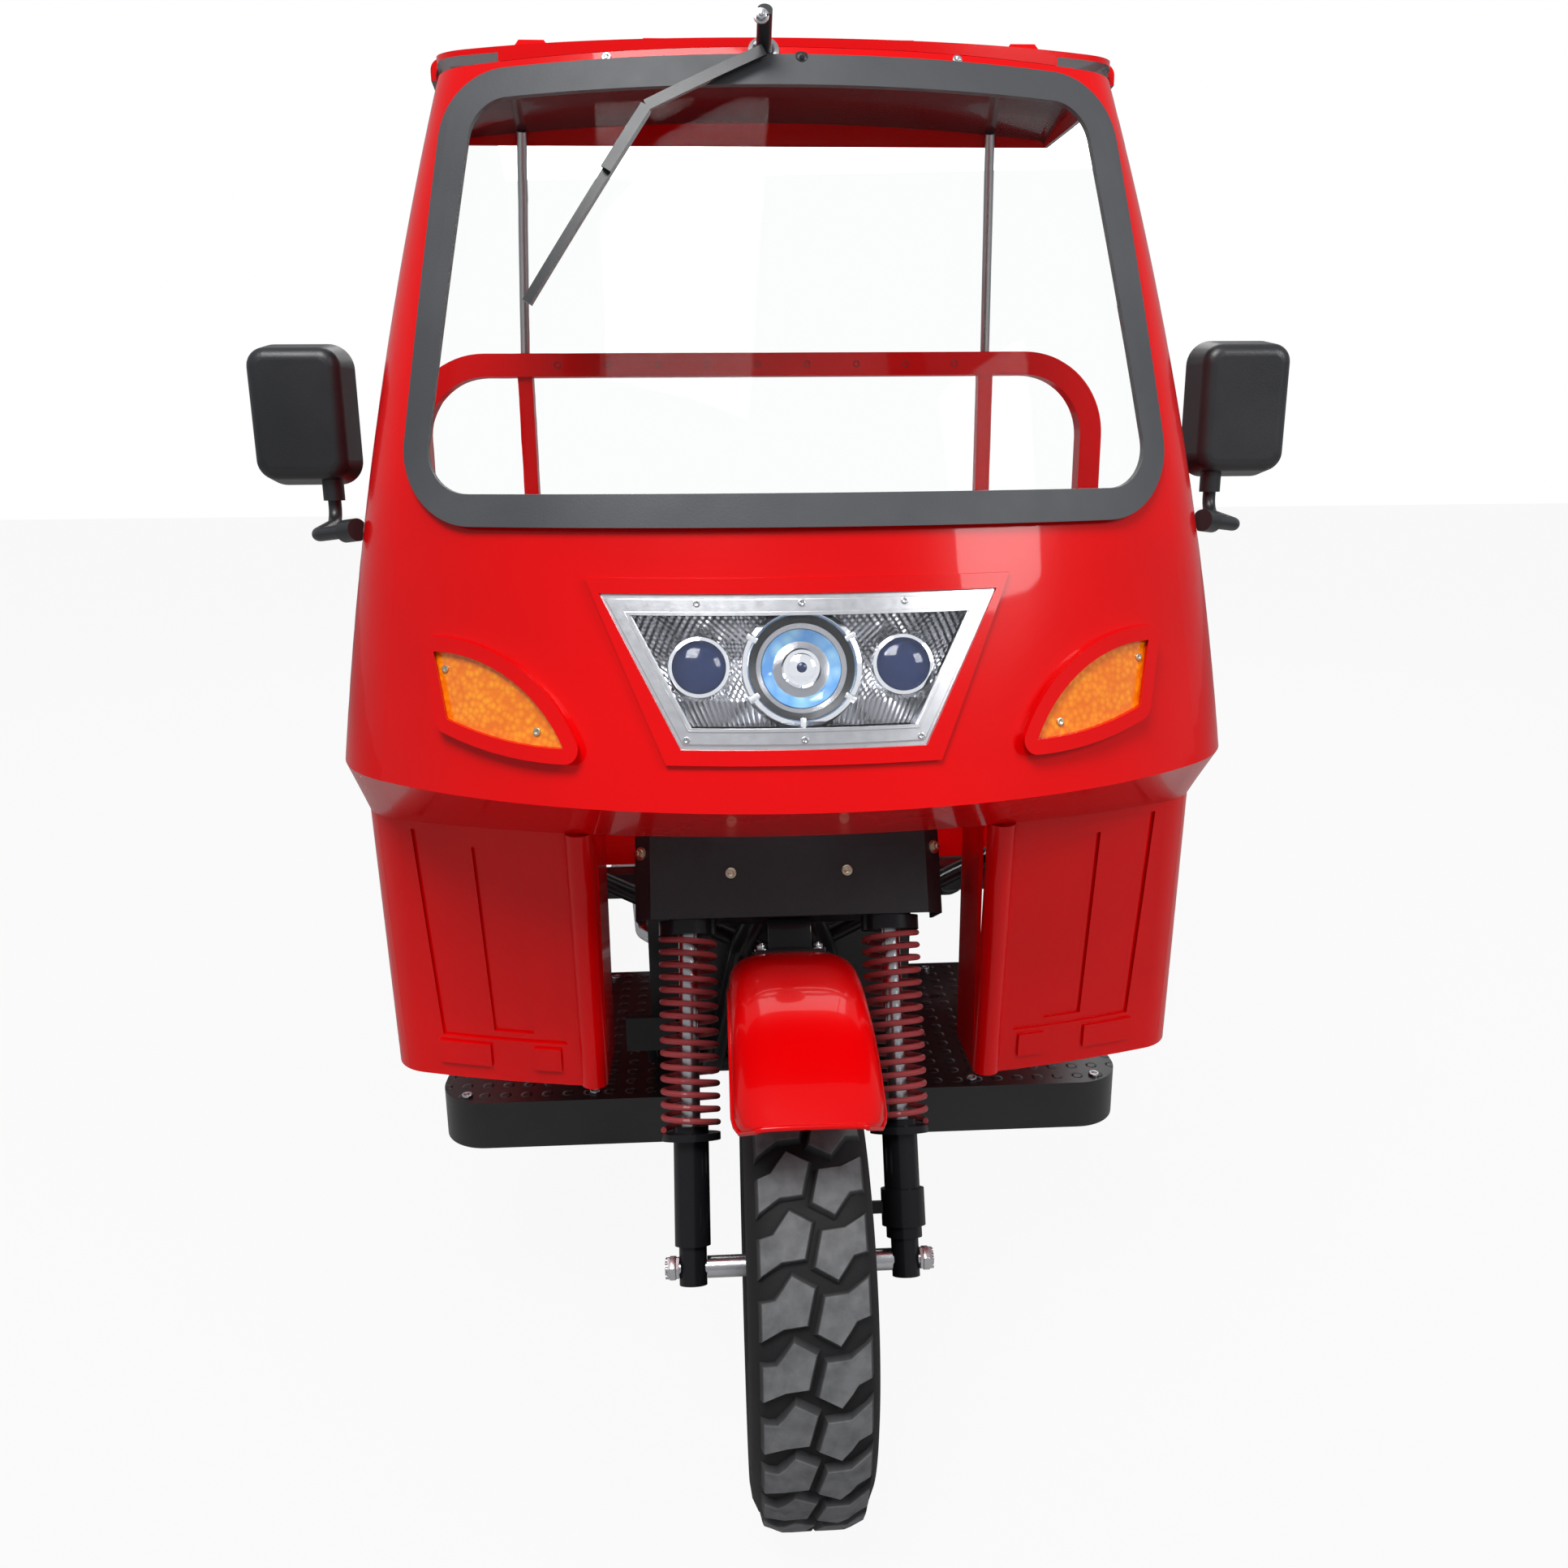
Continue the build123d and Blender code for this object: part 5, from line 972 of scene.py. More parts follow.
@dataclass
class WheelFittings:
    """Nuts round the hub and the valve of one wheel."""

    rim: str
    tyre: str
    body: Body
    hand: int
    nut_circle: float = 0.046
    nut_size: float = 0.008
    nuts: int = 5
    valve_circle: float = 0.144
    valve_angle: float = 1.178
    stem: Bar = Bar(-0.004, 0.018, 0.004, 16, 0.003, bevel=0.0006)
    cap: Bar = Bar(0.016, 0.026, 0.0042, 12)

    def spot(self, circle: float, angle: float) -> tuple[Vector, Vector]:
        """Point of the rim's face at an angle round the hub, and the way out from there."""
        centre = centre_of(self.tyre)
        place, _ = Surface(self.rim).side(self.hand, centre.y + circle * math.cos(angle),
                                          centre.z + circle * math.sin(angle))
        return place, Vector((self.hand, 0, 0))

    def build(self) -> None:
        """Sets the fittings on the rim's face."""
        places = [self.spot(self.nut_circle, angle) for angle in around(self.nuts, 0.5)]
        nuts = Bench.spread(Bench.hexagon(self.nut_size, self.nut_size), places)
        Bench.deliver(nuts, self.rim + "_nuts", self.body, STEEL, "steel")
        root, out = self.spot(self.valve_circle, self.valve_angle)
        valve = Bench.join([self.stem.along(root, out), self.cap.along(root, out)])
        Bench.deliver(valve, self.rim + "_valve", self.body, BLACK_PLASTIC, "black_plastic")


@dataclass
class LampFrame:
    """Outline of the headlamp, with its frosted frame, a bead and six screws."""

    foot: float = 0.9635
    head: float = 1.1105
    half_foot: float = 0.1235
    half_head: float = 0.2035
    edge: float = 0.0035
    width: float = 0.016
    wall: float = 0.0016
    lift: float = 0.001
    bead_width: float = 0.0035
    bead_wall: float = 0.003
    bead_lift: float = 0.0016
    screw_size: Spot = (0.0036, 0.002)
    screws: tuple[Spot, ...] = ((-0.105, 1.1025), (0.0, 1.1025), (0.105, 1.1025),
                                (-0.118, 0.971), (0.0, 0.971), (0.118, 0.971))

    def half(self, height: float) -> float:
        """Half the lamp's width at a height."""
        share = (height - self.foot) / (self.head - self.foot)
        return self.half_foot + (self.half_head - self.half_foot) * share

    def corners(self, inset: float) -> list[Spot]:
        """The four corners, moved inwards, anticlockwise from the lower right."""
        low, high = self.foot + inset, self.head - inset
        return [(self.half(low) - inset, low), (self.half(high) - inset, high),
                (inset - self.half(high), high), (inset - self.half(low), low)]

    def build(self) -> None:
        """Lays the frame and its bead on the cover and sets the screws in them."""
        surface = Surface("headlamp_lens", "headlamp_housing")
        plate = Bench.lay(Bench.frame(self.corners(self.edge), self.width, self.wall), surface, self.lift)
        bead = Bench.frame(self.corners(self.width), self.bead_width, self.bead_wall)
        whole = Bench.join([plate, Bench.lay(bead, surface, self.bead_lift)])
        Bench.deliver(whole, "lamp_frame", Body.CHASSIS, BEZEL, "chrome")
        screws = Bench.spread(Bench.screw(*self.screw_size), [surface.front(x, z) for x, z in self.screws])
        screws.data.transform(Matrix.Translation((0, -self.bead_lift, 0)))
        Bench.deliver(screws, "lamp_frame_screws", Body.CHASSIS, STEEL, "steel")


@dataclass
class Reflector:
    """Pressed field of small diamonds behind the headlamp's cover, with upright flutes at its foot."""

    outline: LampFrame
    columns: int = 88
    rows: int = 30
    margin: float = 0.0125
    side_margin: float = 0.0135
    flutes: float = 0.036
    facet: float = 0.0022
    depth: float = 0.04
    wall: float = 0.0012
    cover_half: float = 0.19
    cover_share: float = 0.97
    cover_heights: Spot = (0.978, 1.096)

    def height(self, column: int, row: int, z: float) -> float:
        """How far a point is pressed back: by turns along a row, and in the diamonds from row to row."""
        count = column if z < self.outline.foot + self.flutes else column + row
        return self.facet if count % 2 else 0.0

    def build(self) -> None:
        """Shapes the field from a grid that follows the cover."""
        cover = Surface("headlamp_lens")
        Bench.clear()
        bpy.ops.mesh.primitive_grid_add(x_subdivisions=self.columns, y_subdivisions=self.rows, size=1.0)
        sheet = bpy.context.object
        low, high = self.outline.foot + self.margin, self.outline.head - self.margin
        lowest, highest = self.cover_heights
        for vertex in sheet.data.vertices:
            across, up = vertex.co.x * 2, vertex.co.y + 0.5
            column, row = round((vertex.co.x + 0.5) * self.columns), round(up * self.rows)
            z = low + (high - low) * up
            x = across * (self.outline.half(z) - self.side_margin)
            inside = max(-self.cover_half, min(self.cover_half, x)) * self.cover_share
            place, _ = cover.front(inside, min(max(z, lowest), highest))
            vertex.co = (x, place.y + self.depth + self.height(column, row, z), z)
        sheet.data.update()
        Bench.edit(sheet)
        bpy.ops.mesh.poke(offset=0.0)
        bpy.ops.object.mode_set(mode="OBJECT")
        Bench.modify(sheet, "SOLIDIFY", thickness=self.wall, offset=-1.0)
        Bench.outward(sheet)
        Bench.deliver(sheet, "lamp_reflector", Body.CHASSIS, REFLECTOR, "chrome", angle=FACET_ANGLE)


@dataclass
class LampUnits:
    """One large and two small lamp units, turned about the lamp's own direction."""

    height: float = 1.043
    spacing: float = 0.104
    setback: float = 0.02
    shell: Turning = Turning(((-0.030, 0.0535), (0.004, 0.0535), (0.0075, 0.0560), (0.0060, 0.0605),
                              (0.0, 0.0620), (-0.030, 0.0620)))
    small_shell: Turning = Turning(((-0.026, 0.0255), (0.002, 0.0255), (0.0055, 0.0275), (0.0045, 0.0310),
                                    (0.0, 0.0325), (-0.026, 0.0325)), 48)
    small_dome: Turning = Turning(((-0.010, 0.0), (-0.010, 0.0256), (-0.001, 0.0256), (0.003, 0.018),
                                   (0.005, 0.009), (0.0055, 0.0)), 48)
    dot: Turning = Turning(((0.0, 0.0), (0.0, 0.0055), (0.003, 0.0050), (0.0042, 0.003), (0.0046, 0.0)), 24)
    clip: Bar = Bar(0.052, 0.064, 0.0045, 8, bevel=0.001)
    clip_lift: float = 0.004
    clip_angles: tuple[float, ...] = (0.55, 1.57, 2.6, 3.7, 4.71, 5.7)
    inner: tuple[tuple[str, Finish, str, Turning], ...] = (
        ("lamp_shroud", BLACK_PLASTIC, "black_plastic", Turning((
            (-0.028, 0.0455), (-0.004, 0.0465), (-0.001, 0.0535), (-0.028, 0.0535)))),
        ("lamp_dish", REFLECTOR, "chrome", Turning((
            (-0.020, 0.0), (-0.0185, 0.012), (-0.014, 0.027), (-0.0095, 0.037), (-0.004, 0.0462),
            (-0.024, 0.0462), (-0.024, 0.0)))),
        ("lamp_blue_ring", BLUE_COAT, "clear_glass", Turning((
            (-0.0121, 0.0290), (-0.0085, 0.0370), (-0.0062, 0.0405), (-0.0074, 0.0405),
            (-0.0097, 0.0370), (-0.0133, 0.0290)))),
        ("lamp_bulb_cap", CHROME, "chrome", Turning((
            (-0.020, 0.0), (-0.020, 0.0205), (-0.003, 0.0205), (-0.001, 0.0185), (-0.0015, 0.0150),
            (0.0, 0.0125), (0.001, 0.0)), 48)),
    )

    def middle(self, x: float) -> Vector:
        """Centre of a unit's face, set back behind the cover."""
        place, _ = Surface("headlamp_lens").front(x, self.height)
        return place - LAMP_WAY * self.setback

    def clips(self, centre: Vector) -> list[Thing]:
        """Models the clips that hold the large unit's ring."""
        plane = LAMP_WAY.to_track_quat("Z", "Y")
        root = centre + LAMP_WAY * self.clip_lift
        return [self.clip.along(root, plane @ Vector((math.cos(angle), math.sin(angle), 0)))
                for angle in self.clip_angles]

    def build(self) -> None:
        """Turns the rings, dishes and lenses of the units."""
        large = self.middle(0.0)
        small = [self.middle(-self.spacing), self.middle(self.spacing)]
        rings = [self.shell.along(large, LAMP_WAY), *self.clips(large)]
        rings += [self.small_shell.along(centre, LAMP_WAY) for centre in small]
        Bench.deliver(Bench.join(rings), "lamp_rings", Body.CHASSIS, CHROME, "chrome", ("headlamp_projectors",))
        for name, finish, slot, turning in self.inner:
            Bench.deliver(turning.along(large, LAMP_WAY), name, Body.CHASSIS, finish, slot)
        lenses = [self.small_dome.along(centre, LAMP_WAY) for centre in small]
        lenses.append(self.dot.along(large, LAMP_WAY))
        Bench.deliver(Bench.join(lenses), "lamp_dark_lenses", Body.CHASSIS, BLUE_GLASS, "clear_glass",
                      ("headlamp_bulbs",))


@dataclass
class Row:
    """Like screws or bolts in one CAD node, the same on the right and on the left."""

    name: str
    node: str
    face: Callable[[Surface, float, float], tuple[Vector, Vector]]
    spots: tuple[Spot, ...]
    model: Callable[[float, float], Thing]
    size: Spot
    body: Body
    finish: Metal

    def build(self) -> None:
        """Sets the fasteners in the node's face."""
        surface = Surface(self.node)
        places = [self.face(surface, hand * across, other) for hand in (-1, 1) for across, other in self.spots]
        Bench.deliver(Bench.spread(self.model(*self.size), places), self.name, self.body, self.finish, "steel")


SIGNAL_ROW = Row("signal_screws", "turn_signals", Surface.front, ((0.373, 1.030), (0.271, 0.974)),
                 Bench.screw, (0.0042, 0.002), Body.CHASSIS, ZINC)
ROWS = (
    Row("cabin_screws", "cab_front_panel", Surface.front, ((0.19, 1.6615),),
        Bench.screw, (0.0055, 0.0026), Body.CHASSIS, STEEL),
    Row("fork_cover_screws", "fork_cover", Surface.front, ((0.074, 0.7345),),
        Bench.screw, (0.007, 0.0035), Body.STEERING, ZINC),
    Row("fork_cover_bolts", "fork_cover", Surface.front, ((0.1885, 0.7565),),
        Bench.hexagon, (0.0065, 0.006), Body.STEERING, ZINC),
    Row("footboard_bolts", "footboards", Surface.above,
        ((0.276, -0.975), (0.276, -0.56), (0.46, -0.975), (0.46, -0.56)),
        Bench.screw, (0.008, 0.004), Body.CHASSIS, STEEL),
    Row("tail_lamp_screws", "tail_lamps", Surface.rear, ((0.425, 0.572), (0.505, 0.572)),
        Bench.screw, (0.0045, 0.002), Body.CHASSIS, STEEL),
)


@dataclass
class Wiper:
    """Silver ring and head nut of the wiper, and the washer nozzle beside it."""

    ring_spot: Spot = (-0.022, 1.6617)
    nozzle_spot: Spot = (0.018, 1.652)
    nut_spot: Spot = (-0.026, 1.682)
    nut_size: Spot = (0.006, 0.005)
    ring: Turning = Turning(((0.0, 0.009), (0.004, 0.009), (0.006, 0.012), (0.004, 0.0165), (0.0, 0.0175)), 32)
    base: Turning = Turning(((-0.001, 0.0), (-0.001, 0.010), (0.004, 0.0095), (0.008, 0.006), (0.010, 0.0)), 24)
    jet_start: float = 0.006
    jet_end: float = 0.012
    jet_drop: float = 0.003

    def nozzle(self, place: Vector, out: Vector) -> Thing:
        """Models the nozzle's base with its jet, which points a little down."""
        start, end = place + out * self.jet_start, place + out * self.jet_end - UP * self.jet_drop
        jet = Bench.soften(Bench.rod(start, end, 0.003, 12), 0.0008)
        return Bench.join([self.base.along(place, out), jet])

    def build(self) -> None:
        """Builds the small parts on the header."""
        header = Surface("cab_front_panel")
        ring = self.ring.along(*header.front(*self.ring_spot))
        Bench.deliver(ring, "wiper_ring", Body.CHASSIS, STEEL, "steel")
        nozzle = self.nozzle(*header.front(*self.nozzle_spot))
        Bench.deliver(nozzle, "washer_nozzle", Body.CHASSIS, BLACK_PLASTIC, "black_plastic")
        head, _ = Surface("wiper_arm").front(*self.nut_spot)
        nut = Bench.spread(Bench.hexagon(*self.nut_size), [(head, Vector((0, -1, 0.2)).normalized())])
        Bench.deliver(nut, "wiper_head_nut", Body.CHASSIS, STEEL, "steel")


@dataclass
class AxleNuts:
    """Castle nuts at the ends of the front axle, with their split pins."""

    inset: float = 0.0006
    nut: Bar = Bar(-0.013, -0.005, 0.0155, 6)
    tooth: Bar = Bar(-0.006, 0.0, 0.0032, 8, bevel=0.0006)
    teeth: int = 6
    teeth_circle: float = 0.0105
    pin: tuple[Point, ...] = ((-0.002, -0.012, 0.0), (-0.002, 0.012, 0.0), (-0.004, 0.0145, -0.004))
    pin_radius: float = 0.0012

    def build(self) -> None:
        """Builds a nut at each end of the axle."""
        reach = Surface("front_axle").high.x - self.inset
        pieces = []
        for hand in (-1, 1):
            end, out = Vector((hand * reach, AXLE.y, AXLE.z)), Vector((hand, 0, 0))
            pieces.append(self.nut.along(end, out))
            for angle in around(self.teeth, 0.5):
                spoke = Vector((0, math.cos(angle), math.sin(angle))) * self.teeth_circle
                pieces.append(self.tooth.along(end + spoke, out))
            bends = [end + Vector((hand * x, y, z)) for x, y, z in self.pin]
            pieces.append(Bench.tube(bends, self.pin_radius))
        Bench.deliver(Bench.join(pieces), "axle_castle_nuts", Body.STEERING, STEEL, "steel")


@dataclass
class Fender:
    """Front mudguard: a domed shell with round front corners and a rolled edge, its bracket and bolts."""

    radius: float = 0.380
    half_width: float = 0.0795
    skirt: float = 0.046
    front: float = math.radians(55)
    rear: float = math.radians(150)
    corner: float = 0.045
    front_share: float = 0.70
    front_skirt: float = 0.006
    crown: float = 3.2
    wall: float = 0.0028
    edge: float = 0.0032
    along: int = 60
    across: int = 32
    edge_steps: int = 48
    front_steps: int = 24
    strap: tuple[Point, Point] = ((-0.028, -0.012, 0.3800), (0.028, 0.012, 0.4226))
    foot: tuple[Point, Point] = ((-0.045, -0.018, 0.3765), (0.045, 0.018, 0.3830))
    bolts: tuple[Point, Point] = ((-0.036, 0.0, 0.3830), (0.036, 0.0, 0.3830))
    bolt_size: Spot = (0.0075, 0.0075)

    def station(self, share: float) -> Spot:
        """Half width and skirt depth at a share of the way from the front edge to the rear."""
        run = share * (self.rear - self.front) * self.radius
        bend = min(1.0, run / self.corner)
        full = math.sqrt(max(0.0, 1.0 - (1.0 - bend) ** 2))
        width = self.half_width * (self.front_share + (1.0 - self.front_share) * full)
        return width, self.front_skirt + (self.skirt - self.front_skirt) * full

    def place(self, share: float, side: float) -> Vector:
        """Point of the shell, side running from -1 at the right edge to 1 at the left."""
        half, depth = self.station(share)
        turn = side * math.pi / 2
        across = math.copysign(abs(math.sin(turn)) ** (2 / self.crown), side) * half
        drop = (1.0 - abs(math.cos(turn)) ** (2 / self.crown)) * depth
        angle = self.front + share * (self.rear - self.front)
        reach = self.radius - drop
        return AXLE + Vector((across, -reach * math.cos(angle), reach * math.sin(angle)))

    def guard(self) -> Thing:
        """Shapes the shell from a grid and gives it its wall."""
        Bench.clear()
        bpy.ops.mesh.primitive_grid_add(x_subdivisions=self.across, y_subdivisions=self.along, size=1.0)
        shell = bpy.context.object
        for vertex in shell.data.vertices:
            vertex.co = self.place(vertex.co.y + 0.5, vertex.co.x * 2)
        shell.data.update()
        Bench.outward(shell)
        return Bench.modify(shell, "SOLIDIFY", thickness=self.wall, offset=-1.0)

    def rolled_edge(self) -> Thing:
        """Bends a rod round the shell's edge."""
        count, steps = self.edge_steps, self.front_steps
        right = [self.place(index / count, -1.0) for index in range(count, 0, -1)]
        low = [self.place(0.0, -1.0 + 2.0 * index / steps) for index in range(steps + 1)]
        left = [self.place(index / count, 1.0) for index in range(1, count + 1)]
        return Bench.tube(right + low + left, self.edge)

    def bracket(self) -> None:
        """Builds the black strap from the crown to the guard, with a foot and two bolts."""
        strap = Bench.slab(*(Vector(corner) for corner in self.strap))
        foot = Bench.slab(*(Vector(corner) for corner in self.foot))
        arm = Bench.join([Bench.soften(strap, 0.002), Bench.soften(foot, 0.0012)])
        bolts = Bench.spread(Bench.hexagon(*self.bolt_size), [(Vector(place), UP) for place in self.bolts])
        lean = Matrix.Translation(AXLE) @ Matrix.Rotation(-FORK_RAKE, 4, "X")
        for piece, name, finish, slot in ((arm, "fender_bracket", FRAME_BLACK, "frame_black"),
                                          (bolts, "fender_bolts", STEEL, "steel")):
            piece.data.transform(lean)
            Bench.deliver(piece, name, Body.STEERING, finish, slot)

    def build(self) -> None:
        """Builds the mudguard in place of its plain solid."""
        guard = Bench.join([self.rolled_edge(), self.guard()])
        Bench.deliver(guard, "fender_guard", Body.STEERING, RED, "body_red", ("front_fender",))
        self.bracket()


@dataclass
class Cushion:
    """Vinyl pad, blown up by cloth simulation and then sewn into channels."""

    node: str
    face: Vector
    seams: tuple[float, ...] = (-0.27, -0.09, 0.09, 0.27)
    voxel: float = 0.007
    shrink: float = 0.010
    rounding: float = 0.022
    pressure: float = 4.0
    frames: int = 20
    swell: float = 0.022
    skin: float = 0.0008
    groove: float = 0.007
    seam_width: float = 0.006

    def blank(self) -> Thing:
        """Makes the pad a little small, with round corners and an even mesh."""
        low, high = (Vector(corner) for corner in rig.box(self.node))
        margin = Vector((self.shrink, self.shrink, self.shrink))
        pad = Bench.soften(Bench.slab(low + margin, high - margin), self.rounding, 3)
        return Bench.modify(pad, "REMESH", mode="VOXEL", voxel_size=self.voxel)

    def inflate(self, pad: Thing) -> None:
        """Blows the pad up under pressure, no further than the swell."""
        start = [vertex.co.copy() for vertex in pad.data.vertices]
        cloth = pad.modifiers.new("cloth", "CLOTH")
        cloth.settings.use_pressure = True
        cloth.settings.uniform_pressure_force = self.pressure
        cloth.settings.effector_weights.gravity = 0.0
        scene = bpy.context.scene
        for step in range(1, self.frames + 1):
            scene.frame_set(step)
        shaped = pad.evaluated_get(bpy.context.evaluated_depsgraph_get())
        moved = [vertex.co.copy() for vertex in shaped.data.vertices]
        pad.modifiers.remove(cloth)
        scene.frame_set(1)
        for vertex, first, last in zip(pad.data.vertices, start, moved):
            way = last - first
            vertex.co = first + (way.normalized() * self.swell if way.length > self.swell else way)

    def sew(self, pad: Thing) -> None:
        """Keeps the pad in its own space, then draws the seams in."""
        low, high = (Vector(corner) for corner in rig.box(self.node))
        for vertex in pad.data.vertices:
            place = vertex.co
            for axis in range(3):
                place[axis] = min(max(place[axis], low[axis] + self.skin), high[axis] - self.skin)
            if (place - (low + high) / 2).dot(self.face) > 0.0:
                near = min(abs(place.x - seam) for seam in self.seams)
                vertex.co = place - self.face * self.groove * math.exp(-(near / self.seam_width) ** 2)

    def build(self) -> None:
        """Builds the pad in place of its plain solid."""
        pad = self.blank()
        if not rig.quick():
            self.inflate(pad)
        Bench.modify(pad, "SUBSURF", levels=1, render_levels=1)
        self.sew(pad)
        Bench.deliver(pad, self.node + "_pad", Body.CHASSIS, VINYL, "vinyl", (self.node,))
        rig.padded(pad, fill=0.6)


@dataclass
class Dial:
    """Face, marks, needle and rim of the gauge."""

    face: Turning = Turning(((0.0, 0.0), (0.0, 0.036), (0.0006, 0.0365), (0.0012, 0.0)), 48)
    hub: Bar = Bar(0.0, 0.0035, 0.0045, 16)
    marks: int = 13
    first_mark: float = math.radians(-30)
    mark_step: float = math.radians(20)
    mark_circle: float = 0.0335
    mark_roots: Spot = (0.026, 0.029)
    mark_lift: float = 0.0012
    needle_angle: float = 2.4
    needle_length: float = 0.025
    needle_lift: float = 0.0025
    rim_lift: float = 0.001
    rim_size: Spot = (0.0385, 0.0026)

    def pointers(self, centre: Vector, way: Vector) -> list[Thing]:
        """Models the marks, every third one longer, and the needle with its hub."""
        plane = way.to_track_quat("Z", "Y")
        pieces = []
        root = centre + way * self.mark_lift
        for index in range(self.marks):
            angle = self.first_mark + index * self.mark_step
            spoke = plane @ Vector((math.cos(angle), math.sin(angle), 0))
            start = self.mark_roots[0 if index % 3 == 0 else 1]
            pieces.append(Bench.rod(root + spoke * start, root + spoke * self.mark_circle, 0.0007, 6))
        spoke = plane @ Vector((math.cos(self.needle_angle), math.sin(self.needle_angle), 0))
        root = centre + way * self.needle_lift
        pieces.append(Bench.rod(root, root + spoke * self.needle_length, 0.0011, 6, 0.0004))
        return pieces + [self.hub.along(centre, way)]

    def build(self) -> None:
        """Builds the dial on the gauge's own face."""
        gauge = Surface("gauge")
        start = gauge.middle + Vector((0, 0.06, 0.1))
        centre, way = gauge.touch(start, Vector((0, -0.5, -0.86)).normalized())
        Bench.deliver(self.face.along(centre, way), "gauge_face", Body.STEERING, DIAL, "black_plastic")
        marks = Bench.join(self.pointers(centre, way))
        Bench.deliver(marks, "gauge_marks", Body.STEERING, MARKS, "chrome")
        rim = Bench.ring(centre + way * self.rim_lift, way, *self.rim_size)
        Bench.deliver(rim, "gauge_rim", Body.STEERING, CHROME, "chrome")


@dataclass
class CargoFittings:
    """Rope hooks, latches of the tailgate, floor ribs, reflectors and dark discs as painted shade for the holes along
    the hoop.
    """

    hooks: tuple[float, ...] = (-0.05, 0.30, 0.66, 1.02, 1.38)
    hook_height: float = 0.668
    hook_sink: float = 0.002
    hook_bend: tuple[Point, ...] = ((0, 0, 0), (0.008, 0, -0.004), (0.012, 0, -0.016),
                                    (0.012, 0, -0.030), (0.010, 0, -0.042))
    hook_radius: float = 0.0035
    latch_height: float = 0.955
    latch_edge: float = 0.0002
    latch_sink: float = 0.001
    plate: tuple[float, float, float] = (0.606, 0.636, 0.032)
    catch: tuple[float, float, float] = (0.600, 0.612, 0.010)
    lever: tuple[float, ...] = (0.575, 0.590, 0.606)
    lever_depth: float = 0.005
    lever_radius: float = 0.0045
    knob: Bar = Bar(0.568, 0.580, 0.0072, 20, bevel=0.002)
    knob_depth: float = 0.0075
    ribs: tuple[float, ...] = (-0.48, -0.36, -0.24, -0.12, 0.0, 0.12, 0.24, 0.36, 0.48)
    rib_low: Point = (-0.018, -0.17, -0.002)
    rib_high: Point = (0.018, 1.50, 0.0035)
    reflector_spot: Spot = (0.31, 0.585)
    reflector: Turning = Turning(((0.0, 0.0), (0.0, 0.024), (0.004, 0.0235), (0.0055, 0.020), (0.007, 0.0)), 36)
    # Painted shade: a dark disc with a rim that stands for the inside of a hole.
    hole: Turning = Turning(((-0.0012, 0.0), (-0.0012, 0.0042), (0.0006, 0.0048), (0.0006, 0.0058),
                             (-0.002, 0.006), (-0.002, 0.0)), 16)
    holes: int = 9
    hole_first: float = -0.36
    hole_pitch: float = 0.09
    hole_drop: float = 0.02

    def rope_hooks(self) -> None:
        """Bends a hook at each place along both sides, under the walls."""
        sill = Surface("cargo_floor", "cargo_side_left", "cargo_side_right")
        pieces = []
        for y in self.hooks:
            place, _ = sill.side(1, y, self.hook_height)
            root = Vector((place.x - self.hook_sink, y, self.hook_height))
            pieces.append(Bench.tube([root + Vector(bend) for bend in self.hook_bend], self.hook_radius))
        Bench.deliver(Bench.both(Bench.join(pieces)), "rope_hooks", Body.CHASSIS, RED, "body_red")

    def pad(self, gate: Surface, probe: float, size: tuple[float, float, float], bevel: float) -> Thing:
        """Block on the tailgate's back.

        Args:
            gate: the tailgate.
            probe: x where the back is felt for.
            size: the block's inner x, its outer x and half its height.
            bevel: how far its edges are rounded.

        Returns:
            The block.
        """
        place, _ = gate.rear(probe, self.latch_height)
        inner, outer, half = size
        low = Vector((inner, place.y - self.latch_sink, self.latch_height - half))
        high = Vector((outer, gate.high.y - self.latch_edge, self.latch_height + half))
        return Bench.soften(Bench.slab(low, high), bevel)

    def latches(self) -> None:
        """Builds a latch at each upper corner of the tailgate."""
        gate = Surface("tailgate")
        edge = gate.high.y - self.latch_edge
        lever = [Vector((x, edge - self.lever_depth, self.latch_height)) for x in self.lever]
        knob_root = Vector((0, edge - self.knob_depth, self.latch_height))
        parts = [self.pad(gate, 0.622, self.plate, 0.0008), self.pad(gate, 0.585, self.catch, 0.001),
                 Bench.tube(lever, self.lever_radius), self.knob.along(knob_root, Vector((1, 0, 0)))]
        Bench.deliver(Bench.both(Bench.join(parts)), "gate_latches", Body.TAILGATE, ZINC, "steel")

    def floor_ribs(self) -> None:
        """Presses long low ribs into the floor of the box, one modelled and the rest copied."""
        top = Vector((0, 0, Surface("cargo_floor").high.z))
        rib = Bench.slab(top + Vector(self.rib_low), top + Vector(self.rib_high))
        Bench.push_face(rib, UP, 0.004, 0.0015)
        Bench.soften(rib, 0.0015)
        copies = [Bench.copy(rib, Matrix.Translation((x, 0, 0))) for x in self.ribs]
        bpy.data.objects.remove(rib)
        Bench.deliver(Bench.join(copies), "floor_ribs", Body.CHASSIS, RED, "body_red")

    def reflectors(self) -> None:
        """Sets a round red reflector at each side of the rear member."""
        disc = self.reflector.along(*Surface("chassis_frame").rear(*self.reflector_spot))
        Bench.deliver(Bench.both(disc), "rear_reflectors", Body.CHASSIS, LAMP_RED, "lamp_red")

    def hoop_hole_shade(self) -> None:
        """Marks the row of small holes along the hoop's top bar with black discs, a painted shade where the holes are.
        """
        bar = Surface("cargo_headboard")
        height = bar.high.z - self.hole_drop
        places = [bar.front(self.hole_first + index * self.hole_pitch, height) for index in range(self.holes)]
        rims = Bench.spread(self.hole.along(Vector(), UP), places)
        Bench.deliver(rims, "hoop_hole_shade", Body.CHASSIS, BLACK_PLASTIC, "black_plastic")

